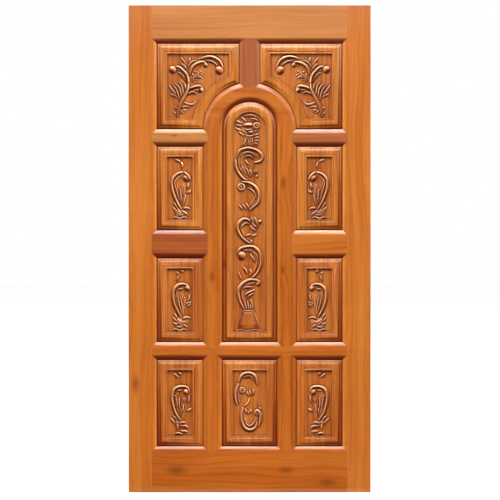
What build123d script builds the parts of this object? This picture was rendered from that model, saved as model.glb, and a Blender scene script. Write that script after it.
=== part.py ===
from build123d import *
import os
from math import ceil, copysign, cos, pi, sin, sqrt

# Timber frame, in millimetres
door_thickness = 40.0
stile_face = 102.0
muntin_face = 42.0
mullion_face = 48.0
top_rail_face = 144.0
upper_cross_face = 34.0
middle_cross_face = 81.0
lower_rail_face = 36.0
bottom_rail_face = 181.0

# Openings between sight lines, the inner edges of the mouldings
arch_radius = 122.0
column_opening_width = 204.0
lower_opening_height = 381.0
middle_opening_height = 370.0
upper_opening_height = 369.0
crown_gap = 174.0
arch_seam_rise = 53.0

# Moulding worked on the edges of the frame and the groove behind it: the bulge is a share of the chord
moulding_width = 20.0
moulding_drop = 9.0
moulding_quirk = 1.2
ovolo_bulge = 0.07
groove_depth = 12.0
tongue_thickness = 10.0
tongue_clearance = 0.25
panel_expansion_gap = 1.0

# Panel edge: a quirk, two stepped ovolos and a flat border round the sunk ground
quirk_width = 2.5
lower_ovolo_width = 8.5
lower_ovolo_foot = 9.0
lower_ovolo_top = 12.6
step_width = 2.0
upper_ovolo_width = 12.0
upper_ovolo_foot = 13.8
field_level = 17.5
border_width = 47.0
ground_depth = 8.0

# Carving: how far it is rooted in the ground, the ends of a stroke's taper, and the facets of a scroll's eye
carving_root = 1.0
stroke_tip = 0.3
eye_facets = 7

# Joints: a tenon of the paired depth or more has two pegs, each that share of it from an edge
tenon_thickness = 12.0
tenon_shoulder = 2.0
main_tenon_inset = 26.0
cross_tenon_length = 28.0
stub_tenon_length = 16.0
mortise_clearance = 0.15
mortise_end_gap = 1.0
wedge_length = 60.0
wedge_thick_end = 5.0
wedge_thin_end = 0.8
peg_diameter = 8.0
peg_clearance = 0.1
peg_from_shoulder = 20.0
paired_peg_share = 0.3
paired_peg_depth = 64.0
dowel_diameter = 10.0
dowel_length = 60.0
dowel_clearance = 0.1
dowel_spacing = 26.0

# Lines and levels worked out from the sizes above
face_y = door_thickness / 2
cut_y = face_y + 5.0
ring_width = muntin_face + 2 * moulding_width
arch_outer_radius = arch_radius + ring_width
column_inner = arch_outer_radius
column_outer = column_inner + column_opening_width
stile_shoulder = column_outer + moulding_width
door_half_width = stile_shoulder + stile_face
muntin_inner = arch_radius + moulding_width
muntin_outer = muntin_inner + muntin_face
mullion_half = mullion_face / 2
lower_bottom = bottom_rail_face + moulding_width
lower_top = lower_bottom + lower_opening_height
middle_bottom = lower_top + lower_rail_face + 2 * moulding_width
middle_top = middle_bottom + middle_opening_height
upper_bottom = middle_top + middle_cross_face + 2 * moulding_width
upper_top = upper_bottom + upper_opening_height
springing = upper_top + upper_cross_face + 2 * moulding_width
spandrel_top = springing + arch_outer_radius + crown_gap
top_rail_bottom = spandrel_top + moulding_width
door_height = top_rail_bottom + top_rail_face
arch_seam = springing + arch_seam_rise
tongue_reach = groove_depth - panel_expansion_gap
groove_half = tongue_thickness / 2 + tongue_clearance
ground_y = ground_depth - field_level
block_reach = moulding_width + groove_depth


def run(points):
    """Join points in the order given: a bare point ends a straight run, a pair is an arc's middle and end."""
    here = points[0]
    curve = None
    for step in points[1:]:
        if isinstance(step[0], tuple):
            edge = ThreePointArc(here, step[0], step[1])
            here = step[1]
        else:
            edge = Line(here, step)
            here = step
        curve = edge if curve is None else curve + edge
    return curve


def ovolo(crest, foot):
    """The middle and the end of a rounded edge that falls from its crest to its foot."""
    across = foot[0] - crest[0]
    fall = foot[1] - crest[1]
    middle_x = (crest[0] + foot[0]) / 2 + ovolo_bulge * copysign(fall, across)
    middle_y = (crest[1] + foot[1]) / 2 - ovolo_bulge * abs(across)
    return (middle_x, middle_y), foot


def moulding_points(line, way):
    """Front half of a stuck ovolo and its groove, away from a sight line: way 1 is towards larger x."""
    crest = (line + way * moulding_width, moulding_quirk - face_y)
    return [
        (line + way * moulding_width, -cut_y),
        crest,
        ovolo(crest, (line, moulding_drop - face_y)),
        (line, -groove_half),
        (line + way * groove_depth, -groove_half),
        (line + way * groove_depth, 0),
    ]


def panel_points(line, way):
    """Front half of a panel's edge, from the field out to the tongue: way 1 has the panel at larger x."""
    foot = line + way * quirk_width
    crest = foot + way * lower_ovolo_width
    step = crest + way * step_width
    edge = step + way * upper_ovolo_width
    return [
        (edge, -field_level),
        ovolo((edge, -field_level), (step, -upper_ovolo_foot)),
        (step, -lower_ovolo_top),
        (crest, -lower_ovolo_top),
        ovolo((crest, -lower_ovolo_top), (foot, -lower_ovolo_foot)),
        (foot, -tongue_thickness / 2),
        (line - way * tongue_reach, -tongue_thickness / 2),
        (line - way * tongue_reach, 0),
    ]


def half_section(points):
    """Face between the line x = 0 and a profile that is the same front and back."""
    quarter = run(points)
    start = points[0]
    back = mirror(quarter, about=Plane.XZ)
    front_end = Line((0, start[1]), start)
    back_end = Line((0, -start[1]), (start[0], -start[1]))
    spine = Line((0, start[1]), (0, -start[1]))
    return make_face(quarter + back + front_end + back_end + spine)


def bar(section, height):
    """A half section and its mirror image, extruded to a bar that is centred on the origin."""
    half = extrude(section, height / 2, both=True)
    return half + mirror(half, about=Plane.YZ)


def framed(across, upward, width, height):
    """A block with a profile round a rectangle, mitred at its corners, from a half section for each way."""
    return bar(across, height) & Rot(0, 90, 0) * bar(upward, width)


def turned(section):
    """A half section swung over the springing, from one side of the arch to the other."""
    return revolve(section, axis=Axis((0, 0, 0), (0, -1, 0)), revolution_arc=180)


def arched(across, upward, width, drop):
    """A block with a profile round an arch, centred on the springing, with a mitred foot below it."""
    whole = framed(across, upward, width, 2 * drop)
    legs = whole & Pos(0, 0, -drop) * Box(2 * width, 4 * cut_y, 2 * drop)
    return legs + turned(across)


def arch_core(points):
    """What lies inside an arched profile, with plain legs that run well below the springing."""
    section = half_section(points)
    legs = Pos(0, 0, -arch_radius / 2) * bar(section, arch_radius)
    return Pos(0, 0, springing) * (turned(section) + legs)


def light_block(width, height):
    """What a rectangular opening takes out of the frame: the light, its mouldings and its groove."""
    across = half_section(moulding_points(width / 2, 1))
    upward = half_section(moulding_points(height / 2, 1))
    return framed(across, upward, width + 2 * block_reach, height + 2 * block_reach)


def panel_block(width, height):
    """A raised panel for a rectangular opening, its tongue standing in the groove all round."""
    across = half_section(panel_points(width / 2, -1))
    upward = half_section(panel_points(height / 2, -1))
    return framed(across, upward, width + 2 * groove_depth, height + 2 * groove_depth)


def other_side(shape):
    return mirror(shape, about=Plane.YZ)


def elevation(*corners):
    """A face drawn on the door's front elevation, in its middle plane."""
    return make_face(Plane.XZ * Polyline(*corners, close=True))


def rectangle(x0, x1, z0, z1):
    return elevation((x0, z0), (x1, z0), (x1, z1), (x0, z1))


def disc(radius):
    """A round face about the arch's centre."""
    return Pos(0, 0, springing) * (Plane.XZ * Circle(radius))


# Openings, as what each takes out of the frame
spandrel_width = column_outer - mullion_half - moulding_width
spandrel_height = spandrel_top - springing
spandrel_middle = column_outer - spandrel_width / 2
column_middle = (column_inner + column_outer) / 2
arch_drop = springing - middle_bottom


def rectangular_light(middle, foot, width, height):
    return Pos(middle, 0, foot + height / 2) * light_block(width, height)


def spandrel_light():
    whole = rectangular_light(spandrel_middle, springing, spandrel_width, spandrel_height)
    return whole - arch_core(moulding_points(arch_outer_radius, -1))


def arch_light():
    across = half_section(moulding_points(arch_radius, 1))
    upward = half_section(moulding_points(arch_drop, 1))
    block = arched(across, upward, 2 * (arch_radius + block_reach), arch_drop + block_reach)
    return Pos(0, 0, springing) * block


right_lights = [
    rectangular_light(column_middle, lower_bottom, column_opening_width, lower_opening_height),
    rectangular_light(column_middle, middle_bottom, column_opening_width, middle_opening_height),
    rectangular_light(column_middle, upper_bottom, column_opening_width, upper_opening_height),
    spandrel_light(),
]
centre_lights = [
    arch_light(),
    rectangular_light(0, lower_bottom, 2 * arch_radius, lower_opening_height),
]
lights = centre_lights + right_lights + [other_side(light) for light in right_lights]


# Joints: the place of a tenon is x0, x1, z0 and z1 on the elevation
def tenon(place, spare=0.0):
    """A tenon, or with spare the space round it."""
    x0, x1, z0, z1 = place
    face = rectangle(x0 - spare, x1 + spare, z0 - spare, z1 + spare)
    return extrude(face, tenon_thickness / 2 + spare, both=True)


def blind_mortise(place):
    """Space for a blind tenon, with room for glue past its end."""
    x0, x1, z0, z1 = place
    return tenon((x0 - mortise_end_gap, x1 + mortise_end_gap, z0, z1), mortise_clearance)


def stub_mortise(place):
    """Space for an upright's stub tenon, with room for glue past its end."""
    x0, x1, z0, z1 = place
    return tenon((x0, x1, z0 - mortise_end_gap, z1 + mortise_end_gap), mortise_clearance)


def wedge(z, way, spare=0.0):
    """A wedge driven in from the door's right edge beside a tenon's edge at z: way 1 is above the tenon."""
    tip = door_half_width - wedge_length - spare
    inner = z + way * (mortise_clearance - spare)
    thin = inner + way * (wedge_thin_end + 2 * spare)
    thick = inner + way * (wedge_thick_end + 2 * spare)
    face = elevation((tip, inner), (door_half_width, inner), (door_half_width, thick), (tip, thin))
    return extrude(face, tenon_thickness / 2 + spare, both=True)


def wedges(place):
    return [wedge(place[2], -1), wedge(place[3], 1)]


def wedged_mortise(place):
    """A mortise right through a stile, flared towards the door's edge for its two wedges."""
    space = tenon(place, mortise_clearance)
    return space + wedge(place[2], -1, mortise_clearance) + wedge(place[3], 1, mortise_clearance)


def peg(z, spare=0.0):
    """A peg through the right-hand stile and a tenon, flush with both faces, or with spare its hole."""
    pin = Rot(90, 0, 0) * Cylinder(peg_diameter / 2 + spare, door_thickness)
    return Pos(stile_shoulder + peg_from_shoulder, 0, z) * pin


def dowels(spare=0.0):
    """The two dowels across the seam under the arch head on the right, or with spare their holes."""
    middle = sqrt((arch_radius + ring_width / 2) ** 2 - arch_seam_rise ** 2)
    pins = []
    for way in (-1, 1):
        pin = Cylinder(dowel_diameter / 2 + spare, dowel_length + 2 * spare)
        pins.append(Pos(middle + way * dowel_spacing / 2, 0, arch_seam) * pin)
    return pins


# Flat faces of the rails, from their lower to their upper edge
rail_levels = {
    "bottom": (0, bottom_rail_face),
    "lower": (lower_top + moulding_width, middle_bottom - moulding_width),
    "middle": (middle_top + moulding_width, upper_bottom - moulding_width),
    "upper": (upper_top + moulding_width, springing - moulding_width),
    "top": (top_rail_bottom, door_height),
}


def main_tenon(z0, z1):
    """The place of a tenon that runs right through the right-hand stile."""
    return stile_shoulder, door_half_width, z0, z1


main_tenons = {
    "bottom": main_tenon(main_tenon_inset, bottom_rail_face - tenon_shoulder),
    "lower": main_tenon(rail_levels["lower"][0] + tenon_shoulder, rail_levels["lower"][1] - tenon_shoulder),
    "top": main_tenon(top_rail_bottom + tenon_shoulder, door_height - main_tenon_inset),
}


def peg_levels(name):
    """One peg in a narrow tenon, two in a deep one."""
    z0, z1 = main_tenons[name][2:]
    if z1 - z0 < paired_peg_depth:
        return [(z0 + z1) / 2]
    from_edge = (z1 - z0) * paired_peg_share
    return [z0 + from_edge, z1 - from_edge]


def cross_tenons(name):
    """The blind tenons of a right-hand cross rail: into the muntin and into the stile."""
    z0 = rail_levels[name][0] + tenon_shoulder
    z1 = rail_levels[name][1] - tenon_shoulder
    inner = (muntin_outer - cross_tenon_length, muntin_outer, z0, z1)
    outer = (stile_shoulder, stile_shoulder + cross_tenon_length, z0, z1)
    return inner, outer


def stub_tenon(x0, x1, shoulder, way):
    """A stub tenon on the end of an upright, beyond its shoulder: way 1 points up."""
    tip = shoulder + way * stub_tenon_length
    return x0 + tenon_shoulder, x1 - tenon_shoulder, min(shoulder, tip), max(shoulder, tip)


crown = springing + arch_radius + moulding_width + muntin_face
muntin_foot = stub_tenon(muntin_inner, muntin_outer, rail_levels["lower"][1], -1)
low_muntin_head = stub_tenon(muntin_inner, muntin_outer, rail_levels["lower"][0], 1)
low_muntin_foot = stub_tenon(muntin_inner, muntin_outer, bottom_rail_face, -1)
mullion_head = stub_tenon(-mullion_half, mullion_half, top_rail_bottom, 1)
mullion_foot = stub_tenon(-mullion_half, mullion_half, crown, -1)

# Bays across the door between the flat faces of its uprights
right_bay = (muntin_outer, stile_shoulder)
left_bay = (-stile_shoulder, -muntin_outer)
middle_bay = (-muntin_inner, muntin_inner)
three_bays = [left_bay, middle_bay, right_bay]
head_bays = [(-stile_shoulder, -mullion_half), (mullion_half, stile_shoulder)]


def wing(bay, z, way):
    """The moulded strip on a rail's edge across one bay, mitred at both ends: way 1 is above the rail."""
    tip = z + way * moulding_width
    x0, x1 = bay
    return elevation((x0, z), (x1, z), (x1 - moulding_width, tip), (x0 + moulding_width, tip))


def rail_face(name, x0, x1, above, below):
    z0, z1 = rail_levels[name]
    face = rectangle(x0, x1, z0, z1)
    for bay in above:
        face = face + wing(bay, z1, 1)
    for bay in below:
        face = face + wing(bay, z0, -1)
    return face


def mullion_outline():
    """The mullion stands on the round of the arch, its moulded strips mitred into the arch's own."""
    ring = crown - springing
    tip_x = mullion_half + moulding_width
    right = [
        (mullion_half, springing + sqrt(ring ** 2 - mullion_half ** 2)),
        (tip_x, springing + sqrt(arch_outer_radius ** 2 - tip_x ** 2)),
        (tip_x, spandrel_top),
        (mullion_half, top_rail_bottom),
    ]
    left = [(-x, z) for x, z in reversed(right)]
    return elevation(*right, *left) - disc(ring)


def ring_face():
    """The round of the arch between its two sight lines, above the springing."""
    upper = rectangle(-arch_outer_radius, arch_outer_radius, springing, springing + 2 * arch_outer_radius)
    return (disc(arch_outer_radius) - disc(arch_radius)) & upper


faces = {
    "top_rail": rail_face("top", -stile_shoulder, stile_shoulder, [], head_bays),
    "lower_rail": rail_face("lower", -stile_shoulder, stile_shoulder, three_bays, three_bays),
    "bottom_rail": rail_face("bottom", -stile_shoulder, stile_shoulder, three_bays, []),
    "upper_cross_rail": rail_face("upper", muntin_outer, stile_shoulder, [right_bay], [right_bay]),
    "middle_cross_rail": rail_face("middle", muntin_outer, stile_shoulder, [right_bay], [right_bay]),
    "crown_mullion": mullion_outline(),
}


def without(face, *names):
    for name in names:
        face = face - faces[name]
    return face


def near(one, other):
    """Whether the boxes round two shapes overlap on the elevation."""
    a = one.bounding_box()
    b = other.bounding_box()
    beside = a.min.X > b.max.X or b.min.X > a.max.X
    above = a.min.Z > b.max.Z or b.min.Z > a.max.Z
    return not (beside or above)


def worked(face, cuts=()):
    """A board of the door's thickness, its mouldings and grooves worked and its joints cut."""
    blank = extrude(face, face_y, both=True)
    for cut in lights + list(cuts):
        if near(blank, cut):
            blank = blank - cut
    return blank


# Members of the frame
def right_stile():
    whole = rectangle(column_outer, door_half_width, 0, door_height)
    rails = ("top_rail", "lower_rail", "bottom_rail", "upper_cross_rail", "middle_cross_rail")
    cuts = [wedged_mortise(place) for place in main_tenons.values()]
    cuts += [blind_mortise(cross_tenons(name)[1]) for name in ("upper", "middle")]
    cuts += [peg(z, peg_clearance) for name in main_tenons for z in peg_levels(name)]
    return worked(without(whole, *rails), cuts)


def main_rail(name, cuts=()):
    """A rail that runs between the stiles, with a pegged tenon through each."""
    end = tenon(main_tenons[name])
    rail = worked(faces[name + "_rail"], cuts)
    for z in peg_levels(name):
        end = end - peg(z, peg_clearance)
    return rail + end + other_side(end)


def top_rail():
    return main_rail("top", [stub_mortise(mullion_head)])


def lower_rail():
    right = [stub_mortise(muntin_foot), stub_mortise(low_muntin_head)]
    return main_rail("lower", right + [other_side(cut) for cut in right])


def bottom_rail():
    right = stub_mortise(low_muntin_foot)
    return main_rail("bottom", [right, other_side(right)])


def right_cross_rail(name):
    rail = worked(faces[name + "_cross_rail"])
    for place in cross_tenons(name):
        rail = rail + tenon(place)
    return rail


def right_muntin():
    """The upright beside the arch, up to the seam under the arch head."""
    straight = rectangle(arch_radius, arch_outer_radius, rail_levels["lower"][1], springing)
    curved = ring_face() & rectangle(0, arch_outer_radius, springing, arch_seam)
    whole = without(straight + curved, "lower_rail", "upper_cross_rail", "middle_cross_rail")
    cuts = [blind_mortise(cross_tenons(name)[0]) for name in ("upper", "middle")]
    return worked(whole, cuts + dowels(dowel_clearance)) + tenon(muntin_foot)


def right_low_muntin():
    whole = rectangle(arch_radius, arch_outer_radius, bottom_rail_face, rail_levels["lower"][0])
    muntin = worked(without(whole, "lower_rail", "bottom_rail"))
    return muntin + tenon(low_muntin_head) + tenon(low_muntin_foot)


def arch_head():
    """The round head of the arch, one wide board sawn to the curve."""
    above = rectangle(-arch_outer_radius, arch_outer_radius, arch_seam, springing + 2 * arch_outer_radius)
    holes = dowels(dowel_clearance)
    cuts = holes + [other_side(hole) for hole in holes] + [stub_mortise(mullion_foot)]
    return worked(without(ring_face() & above, "crown_mullion"), cuts)


def crown_mullion():
    x0, x1, z0, z1 = mullion_foot
    foot = tenon((x0, x1, z0, z1 + tenon_shoulder))
    return worked(faces["crown_mullion"]) + tenon(mullion_head) + foot


# Carving: a stroke's points are across from its panel's middle and up from the foot of its opening
arch_bodies = [
    [(-44, 948), (-14, 958), (22, 950)],
    [(36, 815), (6, 836), (-28, 825), (-44, 790), (-30, 745), (-6, 712)],
    [(-24, 695), (6, 686), (28, 655), (26, 624), (4, 590)],
    [(2, 526), (-24, 530), (-42, 504), (-32, 472), (0, 440)],
    [(-30, 404), (8, 406), (35, 380), (36, 340), (22, 305), (8, 284)],
    [(34, 260), (4, 262), (-30, 240), (-40, 212), (-30, 176), (-18, 150)],
]
arch_rims = [
    [(-57, 811), (-44, 840), (-10, 852), (25, 845), (50, 827), (56, 807), (45, 794), (22, 789)],
    [(-61, 800), (-61, 774), (-50, 745), (-30, 721), (-6, 708)],
    [(-52, 688), (-37, 701), (-10, 701), (20, 687), (41, 655), (40, 618), (22, 598), (-1, 580)],
    [(5, 524), (-8, 539), (-30, 540), (-48, 524), (-54, 500), (-42, 471), (-20, 448), (6, 432)],
    [(-53, 388), (-43, 410), (-12, 420), (22, 417), (46, 388), (50, 345), (34, 306), (6, 278)],
    [(46, 260), (37, 271), (8, 274), (-28, 259), (-50, 228), (-49, 196), (-37, 170), (-19, 143)],
    [(-18, 928), (-9, 914), (6, 907), (20, 916)],
    [(-4, 966), (6, 954), (14, 941)],
    [(-30, 946), (-17, 955), (-4, 961)],
]
arch_ridges = [
    [(-38, 984), (-26, 976), (-14, 967)],
    [(-1, 1001), (12, 992), (36, 973)],
    [(-40, 811), (-33, 825), (-11, 834), (14, 829), (32, 810)],
    [(-11, 679), (11, 668), (25, 650), (29, 628)],
    [(2, 517), (-14, 524), (-32, 513), (-39, 494)],
    [(10, 400), (31, 384), (38, 352)],
    [(-34, 229), (-18, 242), (12, 244)],
    [(-24, 203), (-6, 218), (26, 232)],
]
arch_leaves = [
    [(-62, 939), (-45, 923), (-21, 908)],
    [(34, 918), (38, 896), (28, 872)],
    [(-52, 770), (-36, 757), (-26, 736)],
    [(-40, 778), (-26, 760), (-15, 731)],
    [(-22, 772), (-8, 750), (0, 724)],
    [(2, 760), (8, 742), (6, 724)],
    [(32, 626), (18, 604), (4, 590)],
    [(-48, 605), (-38, 592), (-24, 583)],
    [(-33, 608), (-22, 594), (-12, 582)],
    [(-4, 548), (12, 528), (26, 506)],
    [(12, 552), (26, 532), (38, 508)],
    [(34, 556), (46, 540), (48, 521)],
    [(-2, 488), (16, 477), (40, 482)],
    [(-32, 333), (-18, 318), (-11, 300)],
    [(-48, 311), (-44, 292), (-36, 277)],
    [(-29, 168), (-22, 157), (-18, 146)],
    [(2, 165), (2, 155), (1, 146)],
    [(16, 162), (14, 153), (11, 146)],
]
arch_eyes = [((32, 950), 15), ((6, 918), 11), ((27, 752), 8), ((33, 729), 6), ((-36, 682), 15),
             ((-32, 378), 15), ((33, 252), 9)]

spandrel_bodies = [
    [(100, 268), (78, 260), (58, 238), (46, 206)],
    [(40, 240), (28, 266), (4, 284), (-24, 289)],
    [(-18, 302), (-50, 308), (-82, 296), (-100, 274)],
    [(54, 156), (34, 170), (8, 178), (-10, 176)],
    [(70, 116), (80, 150), (92, 186)],
    [(24, 212), (0, 238), (-14, 250)],
    [(84, 100), (70, 88), (50, 92)],
]
spandrel_rims = [
    [(100, 276), (82, 272), (66, 258), (52, 242), (44, 222), (42, 198)],
    [(37, 240), (32, 262), (20, 279), (0, 291), (-22, 296), (-33, 289)],
    [(-10, 308), (-30, 316), (-54, 319), (-78, 311), (-96, 296), (-108, 270)],
    [(50, 166), (34, 179), (12, 188), (-8, 190), (-20, 183)],
    [(42, 200), (44, 180), (55, 154), (68, 130), (80, 106), (88, 82), (92, 54)],
]
spandrel_ridges = [
    [(92, 252), (72, 242), (58, 222)],
    [(47, 268), (36, 288), (22, 299), (5, 300)],
    [(-36, 301), (-58, 299), (-76, 288), (-86, 275)],
    [(84, 128), (87, 150), (95, 174), (110, 197)],
    [(67, 142), (67, 170), (74, 196), (84, 208)],
]
spandrel_leaves = [
    [(75, 289), (62, 280), (50, 264)],
    [(40, 316), (37, 304), (42, 291)],
    [(76, 316), (66, 303), (56, 286)],
    [(92, 140), (107, 151), (124, 150)],
    [(94, 153), (112, 170), (129, 196)],
    [(68, 124), (46, 112), (22, 110), (10, 128)],
    [(72, 92), (56, 100), (33, 97)],
    [(106, 100), (84, 86), (60, 69)],
    [(108, 78), (92, 66), (74, 72)],
    [(16, 222), (-4, 232), (-20, 222)],
]
spandrel_eyes = [((114, 263), 13), ((-30, 281), 9), ((-94, 265), 14), ((-13, 172), 8), ((12, 250), 7),
                 ((-12, 252), 6)]

upper_bodies = [
    [(24, 232), (0, 238), (-18, 216), (-14, 172), (-4, 134), (5, 100)],
    [(-22, 96), (-6, 76), (14, 70), (30, 64)],
]
upper_rims = [
    [(19, 256), (-5, 251), (-24, 237), (-36, 212), (-33, 178), (-21, 143), (-8, 116), (6, 95)],
    [(18, 256), (31, 246), (38, 230)],
]
upper_ridges = [
    [(0, 186), (4, 162), (6, 140), (5, 116)],
    [(25, 160), (20, 136), (13, 110)],
]
upper_leaves = [
    [(39, 208), (35, 194), (29, 182)],
    [(50, 178), (40, 168), (28, 166)],
    [(-33, 108), (-24, 95), (-10, 76)],
    [(-27, 121), (-20, 111), (-14, 98)],
    [(6, 94), (16, 82), (31, 71)],
    [(10, 94), (24, 97), (38, 88)],
    [(4, 60), (22, 57), (38, 52)],
    [(-9, 266), (4, 270), (15, 280)],
]
upper_eyes = [((28, 226), 11), ((16, 196), 5), ((18, 178), 5)]

middle_bodies = [
    [(26, 240), (0, 242), (-18, 220), (-18, 176), (-8, 140), (4, 114)],
    [(-22, 104), (-4, 90), (14, 84), (36, 100)],
]
middle_rims = [
    [(36, 250), (14, 256), (-8, 251), (-25, 234), (-30, 205), (-25, 172), (-12, 142), (5, 112)],
]
middle_ridges = [
    [(-20, 214), (-10, 207), (-6, 184), (-3, 160), (2, 138)],
    [(6, 192), (7, 170), (13, 148)],
]
middle_leaves = [
    [(38, 211), (37, 200), (33, 187)],
    [(23, 172), (36, 171), (50, 179)],
    [(27, 160), (38, 162), (49, 171)],
    [(-27, 130), (-18, 117), (-13, 103)],
    [(-30, 112), (-24, 103), (-14, 92)],
    [(10, 98), (28, 110), (50, 105)],
    [(6, 90), (20, 74), (36, 65)],
    [(-14, 92), (-20, 80), (-26, 64)],
    [(-4, 104), (-3, 88), (-7, 70)],
    [(-17, 311), (-8, 302), (3, 290)],
]
middle_eyes = [((32, 238), 10), ((18, 153), 5), ((18, 196), 5)]

lower_bodies = [
    [(28, 248), (2, 252), (-20, 228), (-22, 184), (-12, 146), (2, 118)],
    [(-24, 106), (-8, 98), (12, 96), (30, 90)],
]
lower_rims = [
    [(41, 242), (34, 258), (16, 264), (-6, 262), (-26, 249), (-35, 220), (-31, 184), (-19, 148), (3, 116)],
]
lower_ridges = [
    [(-30, 234), (-18, 217), (-13, 192), (-10, 168)],
    [(16, 190), (14, 168), (10, 146)],
]
lower_leaves = [
    [(37, 217), (36, 206), (33, 193)],
    [(25, 156), (37, 161), (49, 169)],
    [(-32, 135), (-22, 128), (-13, 116)],
    [(4, 107), (15, 110), (27, 117)],
    [(12, 90), (24, 90), (37, 86)],
    [(14, 70), (25, 66), (37, 60)],
    [(-10, 102), (-10, 86), (-12, 74)],
    [(-20, 60), (4, 60), (24, 56)],
    [(-27, 322), (-16, 312), (-5, 304)],
]
lower_eyes = [((28, 240), 10), ((18, 208), 5), ((15, 166), 5)]

centre_bodies = [
    [(-44, 286), (-28, 306), (-4, 314), (16, 304), (28, 280)],
    [(-30, 168), (-30, 124), (-14, 92), (8, 82), (28, 104), (40, 140)],
    [(-56, 250), (-56, 220), (-50, 192)],
]
centre_rims = [
    [(-49, 274), (-46, 296), (-30, 317), (-4, 324), (20, 314), (32, 292), (36, 268)],
    [(-29, 172), (-37, 142), (-35, 112), (-21, 84), (3, 74), (26, 86), (33, 110)],
    [(20, 145), (34, 159), (47, 142), (48, 116), (41, 90)],
    [(-49, 278), (-56, 260), (-64, 240), (-63, 212), (-55, 184)],
]
centre_ridges = [
    [(-19, 109), (-11, 96), (1, 91), (13, 99), (22, 114)],
    [(-34, 296), (-22, 306), (-4, 311), (12, 303), (22, 286)],
    [(-2, 214), (-8, 194), (-28, 172)],
]
centre_leaves = [
    [(-12, 242), (-8, 232), (-3, 222)],
    [(0, 247), (4, 234), (10, 222)],
    [(14, 254), (18, 240), (16, 226)],
    [(-10, 160), (-7, 150), (-4, 142)],
    [(3, 164), (5, 154), (5, 146)],
    [(41, 178), (46, 166), (50, 152)],
    [(-20, 168), (-16, 154), (-12, 144)],
]
centre_eyes = [((-32, 248), 14), ((31, 144), 7)]

# Each design is its bodies, rims, ridges, leaves and eyes, and the next four give the first four their size
arch_design = (arch_bodies, arch_rims, arch_ridges, arch_leaves, arch_eyes)
spandrel_design = (spandrel_bodies, spandrel_rims, spandrel_ridges, spandrel_leaves, spandrel_eyes)
upper_design = (upper_bodies, upper_rims, upper_ridges, upper_leaves, upper_eyes)
middle_design = (middle_bodies, middle_rims, middle_ridges, middle_leaves, middle_eyes)
lower_design = (lower_bodies, lower_rims, lower_ridges, lower_leaves, lower_eyes)
centre_design = (centre_bodies, centre_rims, centre_ridges, centre_leaves, centre_eyes)
stroke_widths = (24.0, 12.0, 7.0, 9.5)
stroke_heights = (3.0, 8.0, 5.5, 6.5)
stroke_crests = (0.6, 0.0, 0.0, 0.0)
stroke_facets = (26.0, 18.0, 22.0, 23.0)

# An eye's steps are shares of its radius and height
eye_height = 7.0
eye_steps = ((0.85, 0.6), (0.45, 1.0))

# A bellied form has a flat middle and an edge, as shares of its half width and its height. The vase and
# the stem that flares into the top scroll are such forms, in sections of level, half width and height.
belly_flat = 0.4
belly_edge = (0.85, 0.5)
vase_middle = -5.0
vase_sections = [(46.0, 30.0, 3.0), (52.0, 38.0, 5.0), (78.0, 44.0, 7.0), (104.0, 38.0, 6.5),
                 (130.0, 29.0, 5.5), (144.0, 27.0, 5.0)]
stem_middle = 0.0
stem_sections = [(850.0, 36.0, 3.0), (866.0, 24.0, 4.0), (904.0, 12.0, 4.5)]


def skinned(loops):
    """A closed solid whose skin joins loops of points, each as long as the last, by flat facets."""
    facets = [Face(Wire.make_polygon(loops[0])), Face(Wire.make_polygon(loops[-1]))]
    count = len(loops[0])
    for low, high in zip(loops, loops[1:]):
        for i in range(count):
            j = (i + 1) % count
            facets.append(Face(Wire.make_polygon([low[i], low[j], high[j]])))
            facets.append(Face(Wire.make_polygon([low[i], high[j], high[i]])))
    return Solid(Shell(facets))


def stroke(points, width, height, crest, facet):
    """A ridge along a curve through its points, tapered to both ends: crest is the flat share of its top."""
    path = Spline(*[(x, 0, z) for x, z in points])
    count = max(2, ceil(path.length / facet))
    loops = []
    for step in range(count + 1):
        share = step / count
        swell = stroke_tip + (1 - stroke_tip) * sqrt(sin(pi * share))
        at = path @ share
        along = path % share
        side = Vector(along.Z, 0, -along.X) * (width * swell / 2)
        root = Vector(0, carving_root, 0)
        top = at + Vector(0, -height * swell, 0)
        loop = [at - side + root, at + side + root, top]
        if crest:
            loop[2:] = [top + side * crest, top - side * crest]
        loops.append(loop)
    return skinned(loops)


def ring(middle, radius, level):
    """Points round a circle that stands level with one height of the carving."""
    turns = [2 * pi * i / eye_facets for i in range(eye_facets)]
    return [Vector(middle[0] + radius * cos(turn), -level, middle[1] + radius * sin(turn)) for turn in turns]


def eye(middle, radius):
    """The round end of a scroll, a stepped button."""
    rings = [ring(middle, radius, -carving_root)]
    rings += [ring(middle, radius * share, eye_height * rise) for share, rise in eye_steps]
    return skinned(rings)


def bellied(middle, sections):
    """A form in low relief, faceted across its width, from one section up to the next."""
    edge, rise = belly_edge
    loops = []
    for z, half, height in sections:
        right = [(belly_flat, height), (edge, height * rise), (1, -carving_root)]
        across = [(-x, level) for x, level in reversed(right)] + right
        loops.append([Vector(middle + half * x, -level, z) for x, level in across])
    return skinned(loops)


def carving(design, way=1):
    """Every stroke of one design, standing on y = 0: way -1 turns it over, left to right."""
    work = []
    sizes = zip(stroke_widths, stroke_heights, stroke_crests, stroke_facets)
    for strokes, size in zip(design, sizes):
        for points in strokes:
            work.append(stroke([(way * x, z) for x, z in points], *size))
    for (x, z), radius in design[4]:
        work.append(eye((way * x, z), radius))
    return work


def sunk(panel, ground, work, middle, foot):
    """Sink the ground below a panel's field and leave the carving standing on it."""
    pocket = Pos(0, ground_y, 0) * extrude(ground, cut_y)
    return (panel - pocket).fuse(*[Pos(middle, ground_y, foot) * piece for piece in work])


def rectangular_panel(middle, foot, width, height, work):
    panel = Pos(middle, 0, foot + height / 2) * panel_block(width, height)
    x0 = middle - width / 2 + border_width
    ground = rectangle(x0, 2 * middle - x0, foot + border_width, foot + height - border_width)
    return sunk(panel, ground, work, middle, foot)


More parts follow.
